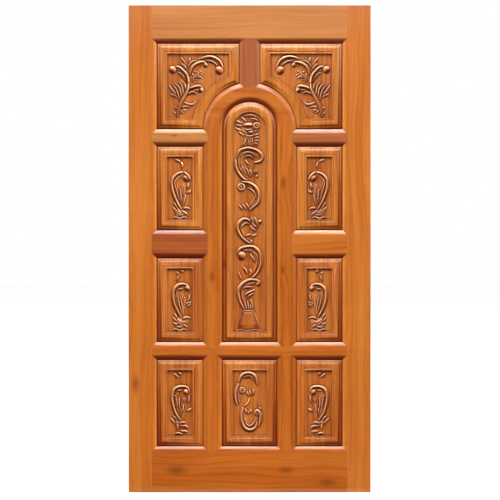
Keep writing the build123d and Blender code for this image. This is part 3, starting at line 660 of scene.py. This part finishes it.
def relief(design, x, z):
    """Height of one design above the sunk ground, at points across from its middle and up from its opening:
    bellies first, then each kind of stroke, then the round ends."""
    height = tooled(x, z)
    for middle, sections in design.get("bellies", ()):
        cut_belly(height, x, z, middle, sections)
    for kind, (width, rise, tip, section) in STROKES.items():
        for points in design.get(kind, ()):
            cut_stroke(height, x, z, points, width, rise, tip, section)
    for kind in ("bulbs", "eyes"):
        for middle, radius in design.get(kind, ()):
            cut_eye(height, x, z, middle, radius, kind == "eyes")
    return height


# Surfaces
def finished(name, points, faces, crease):
    """Make a piece from points in millimetres, creased where its faces turn by more than an angle."""
    mesh = bpy.data.meshes.new(name)
    mesh.from_pydata((points * METRE).tolist(), [], faces)
    mesh.update()
    mesh.shade_smooth()
    mesh.set_sharp_from_angle(angle=radians(crease))
    obj = bpy.data.objects.new(name, mesh)
    bpy.context.scene.collection.objects.link(obj)
    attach(obj, "root")
    return obj


def grid_faces(rows, columns, closed):
    """Quads between the rows and columns of a grid, joined from its last column to its first if closed."""
    last = columns if closed else columns - 1
    i = np.arange(rows - 1)[:, None] * columns
    j = np.arange(last)[None, :]
    k = (j + 1) % columns
    return np.stack([i + j, i + columns + j, i + columns + k, i + k], axis=-1).reshape(-1, 4).tolist()


def ovolo(crest, foot):
    """Points from crest to foot on a parabola that stands out from its chord by a share of the chord."""
    t = np.linspace(0, 1, OVOLO_STEPS + 1)[1:, None]
    crest = np.array(crest)
    chord = np.array(foot) - crest
    out = np.array([-abs(chord[1]), abs(chord[0])])
    return (crest + t * chord + 4 * OVOLO_BULGE * t * (1 - t) * out).tolist()


def panel_section():
    """Distance inside the sight line and height above the middle, from the pocket's foot round to the back:
    straight lines, and parabolas for the ovolos."""
    foot = QUIRK_WIDTH
    crest = foot + LOWER_OVOLO[0]
    step = crest + STEP_WIDTH
    edge = step + UPPER_OVOLO[0]
    front = [[BORDER_WIDTH, POCKET_LEVEL], [BORDER_WIDTH, UPPER_OVOLO[2]]]
    front += [*map(list, BORDER_CUT), [edge, UPPER_OVOLO[2]]]
    slope = ovolo((edge, UPPER_OVOLO[2]), (step, UPPER_OVOLO[1]))
    slope += [[step, LOWER_OVOLO[2]], [crest, LOWER_OVOLO[2]]]
    slope += ovolo((crest, LOWER_OVOLO[2]), (foot, LOWER_OVOLO[1]))
    slope += [[foot, TONGUE_HALF], [-TONGUE_REACH, TONGUE_HALF]]
    back = [[u, -level] for u, level in reversed([[edge, UPPER_OVOLO[2]]] + slope)]
    return np.array(front + slope + back)


def arris(obj):
    """Take the sharp edges off a board."""
    bevel = obj.modifiers.new("arris", "BEVEL")
    bevel.width = ARRIS_ROUND * METRE
    bevel.segments = ARRIS_STEPS
    bevel.limit_method = "ANGLE"
    bevel.angle_limit = radians(ARRIS_ANGLE)


def board(name, node, outline):
    """The panel's border, edge and back: its section carried round its outline, closed front and back."""
    section = panel_section()
    rings = []
    for inside, level in section:
        loop = outline(inside)
        rings.append(np.column_stack([loop[:, 0], np.full(len(loop), -level), loop[:, 1]]))
    count = len(rings[0])
    faces = grid_faces(len(rings), count, True)
    last = (len(rings) - 1) * count
    faces += [list(range(count)), list(range(last + count - 1, last - 1, -1))]
    obj = finished(name, np.vstack(rings), faces, BOARD_CREASE)
    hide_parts(node)
    arris(obj)
    return obj


def plate(name, span, low, high, design, middle, foot, way):
    """The carved ground: a grid drawn between its sides, raised by the relief, flat on its under side."""
    z_lines = np.linspace(low, high, int((high - low) / GRID_PITCH) + 1)
    left, right = span(z_lines)
    columns = int((right - left).max() / GRID_PITCH) + 1
    s = np.linspace(0, 1, columns)
    x = left[:, None] + (right - left)[:, None] * s
    z = np.broadcast_to(z_lines[:, None], x.shape)
    height = relief(design, way * (x.ravel() - middle), z.ravel() - foot).reshape(x.shape)
    top = np.stack([x, -(GROUND_LEVEL + height), z], axis=-1).reshape(-1, 3)
    rows = len(z_lines)
    faces = grid_faces(rows, columns, False)
    number = np.arange(rows * columns).reshape(rows, columns)
    rim = np.concatenate([number[0, :-1], number[:-1, -1], number[-1, :0:-1], number[:0:-1, 0]])
    under = top[rim].copy()
    under[:, 1] = -PLATE_FOOT
    base = rows * columns
    below = base + np.arange(len(rim))
    skirt = np.column_stack([rim, np.roll(rim, -1), np.roll(below, -1), below])
    faces += skirt.tolist()
    faces += [below.tolist()]
    obj = finished(name, np.vstack([top, under]), faces, CARVING_CREASE)
    # Shade is painted from this under the strokes, and their upper sides are painted paler
    hollow = obj.data.attributes.new("hollow", "FLOAT", "POINT")
    values = np.concatenate([hollowness(height).ravel(), np.zeros(len(rim))])
    hollow.data.foreach_set("value", values.astype(np.float32))
    return obj


def hollowness(height):
    """How far each point lies below the mean of the points beside and above it, in millimetres: deepest
    under the strokes, where shade is painted from it, and below nothing on their upper sides, which are
    painted lit."""
    mean = height
    steps = (range(-HOLLOW_BELOW, HOLLOW_ABOVE + 1), range(-HOLLOW_ASIDE, HOLLOW_ASIDE + 1))
    for axis in (0, 1):
        mean = sum(np.roll(mean, -k, axis) for k in steps[axis]) / len(steps[axis])
    return mean - height


def rectangle_outline(x0, x1, z0, z1):
    """An outline as a function of the distance inside its sight lines: here four corners."""
    def outline(inside):
        a, b, c, d = x0 + inside, x1 - inside, z0 + inside, z1 - inside
        return np.array([[a, c], [b, c], [b, d], [a, d]])
    return outline


def arch_outline(z0):
    """Two corners at the foot, then the half circle over the springing."""
    turn = np.linspace(0, np.pi, ARC_STEPS)

    def outline(inside):
        radius = ARCH_RADIUS - inside
        foot = [[-radius, z0 + inside], [radius, z0 + inside]]
        arc = np.column_stack([radius * np.cos(turn), ARCH_SPRINGING + radius * np.sin(turn)])
        return np.vstack([foot, arc])
    return outline


def spandrel_outline(x0, x1, z1):
    """Three corners of a rectangle, then the arc that the arch takes out of its lower inner corner."""
    def outline(inside):
        radius = ARCH_OUTER + inside
        left = x0 + inside
        top = np.arccos(left / radius)
        bottom = np.arcsin(inside / radius)
        turn = np.linspace(top, bottom, ARC_STEPS)
        arc = np.column_stack([radius * np.cos(turn), ARCH_SPRINGING + radius * np.sin(turn)])
        corners = [[x1 - inside, ARCH_SPRINGING + inside], [x1 - inside, z1 - inside], [left, z1 - inside]]
        return np.vstack([corners, arc])
    return outline


def opening(node):
    """A panel's opening between sight lines, worked out from the node's box."""
    low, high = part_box(node)
    edges = (low.x, high.x, low.z, high.z)
    x0, x1, z0, z1 = (round(edge / METRE, 3) for edge in edges)
    return x0 + TONGUE_REACH, x1 - TONGUE_REACH, z0 + TONGUE_REACH, z1 - TONGUE_REACH


def mirrored(obj, name):
    """The same piece on the door's other side, turned over in x with its faces still outwards."""
    mesh = obj.data.copy()
    mesh.name = name
    points = np.empty(len(mesh.vertices) * 3, np.float32)
    mesh.vertices.foreach_get("co", points)
    points[0::3] *= -1
    mesh.vertices.foreach_set("co", points)
    mesh.flip_normals()
    other = bpy.data.objects.new(name, mesh)
    bpy.context.scene.collection.objects.link(other)
    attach(other, "root")
    return other


# Materials
def linear(colour):
    """An sRGB hex colour as the linear red, green and blue that a shader takes, with alpha."""
    value = np.array([int(colour[i:i + 2], 16) for i in (1, 3, 5)]) / 255
    value = np.where(value <= 0.04045, value / 12.92, ((value + 0.055) / 1.055) ** 2.4)
    return (*value.tolist(), 1.0)


def add(tree, kind, inputs=None, **settings):
    """Add a node, set its properties, then give each input a value or a link from another node's output. A
    Mix node's colours go in at 6 and 7 and come out at 2."""
    node = tree.nodes.new("ShaderNode" + kind)
    for key, value in settings.items():
        setattr(node, key, value)
    for key, value in (inputs or {}).items():
        if isinstance(value, bpy.types.NodeSocket):
            tree.links.new(value, node.inputs[key])
        else:
            node.inputs[key].default_value = value
    return node


def new_tree(name):
    """A new material and its empty tree of nodes."""
    material = bpy.data.materials.new(name)
    material.use_nodes = True
    tree = material.node_tree
    tree.nodes.clear()
    return material, tree


def grain_noise(tree, place, grain):
    """Noise drawn out along the grain: as wide, as long and as detailed as one size of the figure."""
    width, length, detail = grain
    scale = (1 / (width * METRE), 1 / (width * METRE), 1 / (length * METRE))
    drawn = add(tree, "Mapping", {"Vector": place, "Scale": scale})
    return add(tree, "TexNoise", {"Vector": drawn.outputs[0], "Scale": 1.0, "Detail": detail}).outputs[0]


def varnished_teak(name, tones, grain, place, knots=(), figure=1.0, side_shade=0.0):
    """Teak, planed and sanded, under clear gloss varnish: streaks run with the grain, and the varnish gives
    a soft white sheen on slopes that face the ceiling and deepens the colour elsewhere. Shade is painted in
    crevices, under carved strokes and on slopes that face the floor, and the strokes' upper sides are
    painted paler. Tones are light, body and streak, place is where in the log a board was cut, figure is how
    strongly its lines show, and the last is how much shade is also painted on slopes that face the leaf's
    nearer edge."""
    material, tree = new_tree(name)
    light, body, streak = (linear(tone) for tone in tones)
    coordinates = add(tree, "TexCoord").outputs
    turn = (0, radians(90), 0) if grain == "x" else (0, 0, 0)
    wood = add(tree, "Mapping", {"Vector": coordinates["Object"], "Rotation": turn, "Location": place})
    wood = wood.outputs["Vector"]

    # A knot pushes the grain lines round it and is dark at its heart
    heart = add(tree, "Value").outputs[0]
    bulge = add(tree, "Value").outputs[0]
    longer = (KNOT_STRETCH, KNOT_DEEP, 1) if grain == "x" else (1, KNOT_DEEP, KNOT_STRETCH)
    for x, z, radius in knots:
        offset = add(tree, "VectorMath", {0: coordinates["Object"], 1: (x * METRE, 0, z * METRE)},
                     operation="SUBTRACT")
        flat = add(tree, "VectorMath", {0: offset.outputs[0], 1: longer}, operation="MULTIPLY")
        away = add(tree, "VectorMath", {0: flat.outputs[0]}, operation="LENGTH").outputs["Value"]
        fade = {"Value": away, "To Min": 1.0, "To Max": 0.0}
        near = add(tree, "MapRange", {**fade, "From Max": radius * METRE}, interpolation_type="SMOOTHERSTEP")
        wide = add(tree, "MapRange", {**fade, "From Max": KNOT_PUSH * radius * METRE},
                   interpolation_type="SMOOTHERSTEP")
        heart = add(tree, "Math", {0: heart, 1: near.outputs[0]}, operation="MAXIMUM").outputs[0]
        bulge = add(tree, "Math", {0: bulge, 1: wide.outputs[0]}, operation="ADD").outputs[0]

    # The grain wanders, and pushes its lines round the knots
    wander = grain_noise(tree, wood, WANDER_GRAIN)
    shift = add(tree, "Math", {0: wander, 1: WANDER * METRE}, operation="MULTIPLY").outputs[0]
    shift = add(tree, "Math", {0: bulge, 1: KNOT_SHIFT * METRE, 2: shift}, operation="MULTIPLY_ADD")
    aside = add(tree, "CombineXYZ", {"X": shift.outputs[0]})
    bent = add(tree, "VectorMath", {0: wood, 1: aside.outputs[0]}, operation="ADD").outputs[0]

    # Growth rings as the saw shows them: lines far longer than wide, which come and go
    ringed = add(tree, "Mapping", {"Vector": bent, "Scale": (1, 1, RING_DRAWN)})
    rings = add(tree, "TexWave", {"Vector": ringed.outputs[0], "Scale": WAVE_PERIOD / (RING_SPACING * METRE),
                                  **RING_WAVER}, bands_direction="X")
    ring_line = add(tree, "Math", {0: rings.outputs["Fac"], 1: RING_EDGE}, operation="POWER").outputs[0]
    bands = grain_noise(tree, bent, BAND_GRAIN)
    band = add(tree, "MapRange", {"Value": bands, **BAND_SHOWS}).outputs[0]
    ring_line = add(tree, "Math", {0: ring_line, 1: band}, operation="MULTIPLY").outputs[0]
    streaks = grain_noise(tree, bent, STREAK_GRAIN)
    streak_line = add(tree, "MapRange", {"Value": streaks, **STREAK_SHOWS}).outputs[0]
    fine = grain_noise(tree, bent, FINE_GRAIN)
    fine_line = add(tree, "MapRange", {"Value": fine, **FINE_SHOWS}).outputs[0]
    pores = grain_noise(tree, wood, PORE_GRAIN)
    pore = add(tree, "MapRange", {"Value": pores, **PORE_SHOWS}).outputs[0]

    # Light wood between the bands, then darker lines of each size, the pores and the knots' hearts
    base = add(tree, "Mix", {0: band, 6: light, 7: body}, data_type="RGBA").outputs[2]
    for line, tint in ((ring_line, RING_TINT), (streak_line, STREAK_TINT), (fine_line, FINE_TINT)):
        strength = add(tree, "Math", {0: line, 1: tint * figure}, operation="MULTIPLY").outputs[0]
        base = add(tree, "Mix", {0: strength, 6: base, 7: streak}, data_type="RGBA").outputs[2]
    base = add(tree, "Mix", {0: pore, 6: base, 7: linear(PORE_BROWN)}, data_type="RGBA").outputs[2]
    dark = add(tree, "Math", {0: heart, 1: KNOT_TINT}, operation="MULTIPLY").outputs[0]
    base = add(tree, "Mix", {0: dark, 6: base, 7: linear(KNOT_BROWN)}, data_type="RGBA").outputs[2]

    # Crests worn paler, upper sides painted lit; shade painted in quirks, cuts and under strokes dulls the
    # film
    crevice = add(tree, "AmbientOcclusion", {"Distance": CREVICE_REACH * METRE}, samples=CREVICE_RAYS)
    opened = add(tree, "MapRange", {"Value": crevice.outputs["AO"], **CREVICE_OPEN}).outputs[0]
    shade = add(tree, "Math", {0: opened, 1: -CREVICE_TINT, 2: CREVICE_TINT}, operation="MULTIPLY_ADD")
    cuts = add(tree, "Attribute", attribute_name="hollow").outputs["Fac"]
    depth = add(tree, "MapRange", {"Value": cuts, **CUT_SHADE}).outputs[0]
    proud = add(tree, "Math", {0: cuts, 1: -1.0}, operation="MULTIPLY").outputs[0]
    crest = add(tree, "MapRange", {"Value": proud, **CREST_WEAR_AND_HIGHLIGHT}).outputs[0]
    base = add(tree, "Mix", {0: crest, 6: base, 7: linear(WORN_AND_LIT_PALE)}, data_type="RGBA").outputs[2]
    shade = add(tree, "Math", {0: shade.outputs[0], 1: depth}, operation="MAXIMUM").outputs[0]
    base = add(tree, "Mix", {0: shade, 6: base, 7: linear(PAINTED_SHADE_BROWN)}, data_type="RGBA").outputs[2]
    film = add(tree, "Math", {0: shade, 1: -FILM_DULLED, 2: 1.0}, operation="MULTIPLY_ADD").outputs[0]

    # Painted shade on slopes that face the floor, and on panels on slopes that face the leaf's nearer edge:
    # deeper and redder
    across = add(tree, "SeparateXYZ", {"Vector": coordinates["Object"]}).outputs["X"]
    way = add(tree, "Math", {0: across}, operation="SIGN").outputs[0]
    facing = add(tree, "SeparateXYZ", {"Vector": coordinates["Normal"]}).outputs
    outward = add(tree, "Math", {0: way, 1: facing["X"]}, operation="MULTIPLY").outputs[0]
    lean = add(tree, "Math", {0: outward, 1: side_shade, 2: facing["Z"]}, operation="MULTIPLY_ADD").outputs[0]
    front = add(tree, "Math", {0: facing["Y"]}, operation="ABSOLUTE").outputs[0]
    painted_slope_shade = add(tree, "MapRange", {"Value": lean, **SLOPE_SHADE_RANGE}).outputs[0]
    front = add(tree, "MapRange", {"Value": front, **FACES_FRONT}).outputs[0]
    painted_slope_shade = add(tree, "Math", {0: painted_slope_shade, 1: front}, operation="MULTIPLY").outputs[0]
    base = add(tree, "Mix", {0: painted_slope_shade, 6: base, 7: linear(SLOPE_SHADE_RED)}, data_type="RGBA").outputs[2]

    # The film follows the pores a little and lies in slow waves, as brushed varnish does
    slow = 1 / (FILM_WAVE_SIZE * METRE)
    waves = add(tree, "TexNoise", {"Vector": coordinates["Object"], "Scale": slow, "Detail": 1.0})
    film_height = add(tree, "Math", {0: waves.outputs[0], 1: FILM_WAVE, 2: pores}, operation="MULTIPLY_ADD")
    bump = add(tree, "Bump", {"Height": film_height.outputs[0], "Distance": FILM_DEPTH * METRE,
                              "Strength": FILM_STRENGTH})
    shader = add(tree, "BsdfPrincipled", {"Base Color": base, "Normal": bump.outputs[0], "Coat Weight": film,
                                          **VARNISH})
    add(tree, "OutputMaterial", {"Surface": shader.outputs[0]})
    return material


def panel_teak(name, tones, place, knots=(), figure=1.0):
    """The teak of a panel's border, in its own tones, and of its ground, which is as deep on every panel. It
    is one board, so a border in lighter tones than its ground is painted lit, and the ground is painted in
    shade.
    """
    border = varnished_teak(name + "_teak", tones, "z", place, knots, figure, PANEL_SIDE_SHADE)
    ground = varnished_teak(name + "_ground_teak", PANEL, "z", place, knots, figure, PANEL_SIDE_SHADE)
    return border, ground


def painted(obj, material):
    """Give a piece one material in place of what it has."""
    obj.data.materials.clear()
    obj.data.materials.append(material)


def shown_white(tree):
    """One where the camera or a reflection looks, and nothing where light is only bounced."""
    path = add(tree, "LightPath")
    seen = path.outputs["Is Camera Ray"]
    for kind in ("Is Glossy Ray", "Is Transmission Ray"):
        seen = add(tree, "Math", {0: seen, 1: path.outputs[kind]}, operation="MAXIMUM").outputs[0]
    return seen


def pale_floor():
    """Matt white paint on a smooth floor: it keeps the door's shadow and shows as white where it is lit.
    What it throws back on the door is low and warm, so that slopes that face down stay deep in colour."""
    material, tree = new_tree("pale_floor_paint")
    matt = add(tree, "BsdfDiffuse", {"Color": linear(FLOOR_PAINT), "Roughness": FLOOR_MATT})
    lift = add(tree, "Emission", {"Color": (1, 1, 1, 1), "Strength": FLOOR_LIFT})
    white = add(tree, "AddShader", {0: matt.outputs[0], 1: lift.outputs[0]})
    bounce = add(tree, "BsdfDiffuse", {"Color": linear(BOUNCE_TONE)})
    both = add(tree, "MixShader", {0: shown_white(tree), 1: bounce.outputs[0], 2: white.outputs[0]})
    add(tree, "OutputMaterial", {"Surface": both.outputs[0]})
    half = FLOOR_HALF * METRE
    mesh = bpy.data.meshes.new("floor")
    corners = [(-half, -half, 0), (half, -half, 0), (half, half, 0), (-half, half, 0)]
    mesh.from_pydata(corners, [], [(0, 1, 2, 3)])
    floor = bpy.data.objects.new("floor", mesh)
    bpy.context.scene.collection.objects.link(floor)
    mesh.materials.append(material)


def surroundings():
    """White to the camera and in reflections, and an even soft light on everything else."""
    world = bpy.data.worlds.new("studio")
    bpy.context.scene.world = world
    world.use_nodes = True
    tree = world.node_tree
    tree.nodes.clear()
    lit = add(tree, "Background", {"Color": linear(ROOM_TONE), "Strength": ROOM_LIGHT})
    white = add(tree, "Background", {"Color": (1, 1, 1, 1), "Strength": 1.0})
    both = add(tree, "MixShader", {0: shown_white(tree), 1: lit.outputs[0], 2: white.outputs[0]})
    add(tree, "OutputWorld", {"Surface": both.outputs[0]})


def flag(name, way):
    """Black cloth over the floor and up at its far end, seen only in the varnish: upright faces and those
    that face down keep their own colour."""
    material, tree = new_tree(name + "_cloth")
    cloth = add(tree, "BsdfDiffuse", {"Color": linear(FLAG_BLACK), "Roughness": 1.0})
    add(tree, "OutputMaterial", {"Surface": cloth.outputs[0]})
    half = FLAG_WIDTH / 2
    points = []
    for y, z in ((FLAG_NEAR, FLAG_LIFT), (FLAG_DISTANCE, FLAG_LIFT), (FLAG_DISTANCE, FLAG_HEIGHT)):
        points += [(-half * METRE, way * y * METRE, z * METRE), (half * METRE, way * y * METRE, z * METRE)]
    mesh = bpy.data.meshes.new(name)
    mesh.from_pydata(points, [], [(0, 1, 3, 2), (2, 3, 5, 4)])
    mesh.materials.append(material)
    screen = bpy.data.objects.new(name, mesh)
    bpy.context.scene.collection.objects.link(screen)
    screen.visible_camera = False
    screen.visible_diffuse = False
    screen.visible_shadow = False


def softbox(name, at, aim, width, height, power, spread):
    """A lamp with an even face. Behind a grid its light keeps near its axis, and the varnish doesn't show
    it."""
    lamp = bpy.data.lights.new(name, "AREA")
    lamp.shape = "RECTANGLE"
    lamp.size = width
    lamp.size_y = height
    lamp.energy = power
    lamp.spread = radians(spread)
    obj = bpy.data.objects.new(name, lamp)
    obj.visible_glossy = spread == OPEN_FACE
    obj.location = at
    obj.rotation_euler = (Vector(aim) - Vector(at)).to_track_quat("-Z", "Y").to_euler()
    bpy.context.scene.collection.objects.link(obj)


def camera():
    """Square on to the leaf, far enough off for straight edges, framed as the photograph is."""
    lens = bpy.data.cameras.new("camera")
    lens.sensor_width = SENSOR_WIDTH
    lens.lens = lens.sensor_width * CAMERA_DISTANCE / (PHOTO_WIDTH * PIXEL)
    obj = bpy.data.objects.new("camera", lens)
    centre = (cad_low + cad_high) / 2
    aim_x = centre.x + (PHOTO_WIDTH / 2 - LEAF_CENTRE[0]) * PIXEL * METRE
    aim_z = centre.z - (PHOTO_WIDTH / 2 - LEAF_CENTRE[1]) * PIXEL * METRE
    obj.location = (aim_x, cad_low.y - CAMERA_DISTANCE * METRE, aim_z)
    obj.rotation_euler = (radians(90), 0, 0)
    bpy.context.scene.collection.objects.link(obj)
    bpy.context.scene.camera = obj


# Panels
def rectangular_ground(x0, x1):
    """Straight sides, tucked in under the border."""
    def span(z):
        left = np.full_like(z, x0 + BORDER_WIDTH - TUCK)
        right = np.full_like(z, x1 - BORDER_WIDTH + TUCK)
        return left, right
    return span


def arch_ground(z):
    """Its two sides at each height: upright to the springing, then a circle, and never within 1 mm of its
    middle."""
    radius = ARCH_RADIUS - BORDER_WIDTH + TUCK
    over = np.clip(z - ARCH_SPRINGING, 0, None)
    half = np.sqrt(np.clip(radius ** 2 - over ** 2, 1, None))
    return -half, half


def spandrel_ground(x0, x1):
    """Straight sides, with the arch's larger circle cut out of the lower left."""
    def span(z):
        radius = ARCH_OUTER + BORDER_WIDTH - TUCK
        over = z - ARCH_SPRINGING
        arc = np.sqrt(np.clip(radius ** 2 - over ** 2, 0, None))
        left = np.maximum(x0 + BORDER_WIDTH - TUCK, arc)
        return left, np.full_like(z, x1 - BORDER_WIDTH + TUCK)
    return span


def dressed(node, outline, span, top, design, middle, way, materials):
    """One panel: its board, then its carved ground."""
    x0, x1, z0, z1 = opening(node)
    low = z0 + BORDER_WIDTH - TUCK
    panel = board(node + "_board", node, outline)
    ground = plate(node + "_carving", span, low, top, design, middle, z0, way)
    painted(panel, materials[0])
    painted(ground, materials[1])
    return panel, ground


def rectangular_panel(node, design, way, materials):
    """A panel with four corners, its design turned over from left to right where way is -1."""
    x0, x1, z0, z1 = opening(node)
    outline = rectangle_outline(x0, x1, z0, z1)
    top = z1 - BORDER_WIDTH + TUCK
    return dressed(node, outline, rectangular_ground(x0, x1), top, design, (x0 + x1) / 2, way, materials)


def arch_panel(materials):
    """The round-headed panel, with its design down its middle."""
    x0, x1, z0, z1 = opening("arch_panel")
    top = z1 - BORDER_WIDTH + TUCK
    return dressed("arch_panel", arch_outline(z0), arch_ground, top, ARCH_DESIGN, 0.0, 1, materials)


def spandrel_panels(right_materials, left_materials):
    """The right-hand spandrel, and the left one as its mirror image."""
    node = "right_spandrel_panel"
    x0, x1, z0, z1 = opening(node)
    outline = spandrel_outline(x0, x1, z1)
    top = z1 - BORDER_WIDTH + TUCK
    span = spandrel_ground(x0, x1)
    pair = dressed(node, outline, span, top, SPANDREL_DESIGN, (x0 + x1) / 2, 1, right_materials)
    other = "left_spandrel_panel"
    for obj, material in zip(pair, left_materials):
        twin = mirrored(obj, obj.name.replace(node, other))
        painted(twin, material)
        if obj.modifiers:
            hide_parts(other)
            arris(twin)


# Boards of the frame: tones, grain direction, where in the log each was cut, knots (x, z, radius) and figure
MEMBERS = {
    "left_stile": (HONEY, "z", (0.0, 0.3, 0.0), [(-500, 475, 30)], 0.6),
    "right_stile": (HONEY, "z", (1.7, 0.3, 0.4), [], 0.8),
    "top_rail": (PALE, "x", (0.6, 1.1, 2.0), [], 0.6),
    "lower_rail": (DEEP_HONEY, "x", (0.9, 2.1, 5.0), [], 0.9),
    "bottom_rail": (DEEP_HONEY, "x", (1.3, 0.8, 8.0), [(-320, 98, 34), (160, 100, 26), (340, 45, 30)], 1.0),
    "left_upper_cross_rail": (PALE, "x", (2.3, 1.4, 3.0), [(-330, 1565, 12)], 0.8),
    "right_upper_cross_rail": (ROSE, "x", (2.9, 1.9, 4.0), [], 0.8),
    "left_middle_cross_rail": (RED_BROWN, "x", (3.3, 0.4, 1.0), [], 1.5),
    "right_middle_cross_rail": (HONEY, "x", (3.8, 0.7, 6.0), [], 1.0),
    "left_muntin": (DEEP_HONEY, "z", (4.1, 0.5, 1.0), [(-165, 945, 20)], 1.0),
    "right_muntin": (DEEP_HONEY, "z", (4.6, 0.9, 2.0), [(148, 1357, 22), (146, 975, 16)], 1.0),
    "left_bottom_muntin": (DEEP_HONEY, "z", (5.1, 0.2, 3.0), [], 0.8),
    "right_bottom_muntin": (DEEP_HONEY, "z", (5.5, 0.6, 4.0), [], 1.2),
    "arch_head": (DEEP_HONEY, "x", (6.1, 1.2, 5.0), [], 0.8),
    "crown_mullion": (RED_ROSE, "z", (6.6, 1.6, 6.0), [], 0.5),
}
for node, (tones, grain, place, knots, figure) in MEMBERS.items():
    painted(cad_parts[node], varnished_teak(node + "_teak", tones, grain, place, knots, figure))
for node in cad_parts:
    if node.endswith(("pegs", "wedges", "dowels")):
        painted(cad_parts[node], varnished_teak(node + "_teak", PEG, "z", (7.0, 2.0, 1.0)))

# Panels, each from its own place in the log
arch_panel(panel_teak("arch_panel", LIT_BORDER_GOLDEN, (8.0, 0.5, 1.0), [(-112, 1000, 16)], 1.2))
spandrel_panels(panel_teak("right_spandrel", LIT_BORDER_GOLDEN, (8.8, 0.9, 2.0)),
                panel_teak("left_spandrel", LIT_BORDER_GOLDEN, (9.4, 1.3, 3.0)))
SIDE_PANELS = [
    ("upper_panel", UPPER_DESIGN, LIT_BORDER_GOLDEN), ("middle_panel", MIDDLE_DESIGN, PANEL),
    ("lower_panel", LOWER_DESIGN, PANEL),
]
for number, (panel, design, tones) in enumerate(SIDE_PANELS):
    for side, way in (("left_", 1), ("right_", -1)):
        teak = panel_teak(side + panel, tones, (10.0 + number, 0.7 * way, number))
        rectangular_panel(side + panel, design, way, teak)
rectangular_panel("bottom_centre_panel", CENTRE_DESIGN, 1,
                  panel_teak("bottom_centre", PANEL, (14.0, 1.0, 2.0), (), 1.2))

pale_floor()
surroundings()
flag("front_flag", -1)
flag("back_flag", 1)
for name, lamp in LAMPS.items():
    softbox(name, *lamp)
camera()
bpy.context.scene.view_settings.view_transform = "Standard"
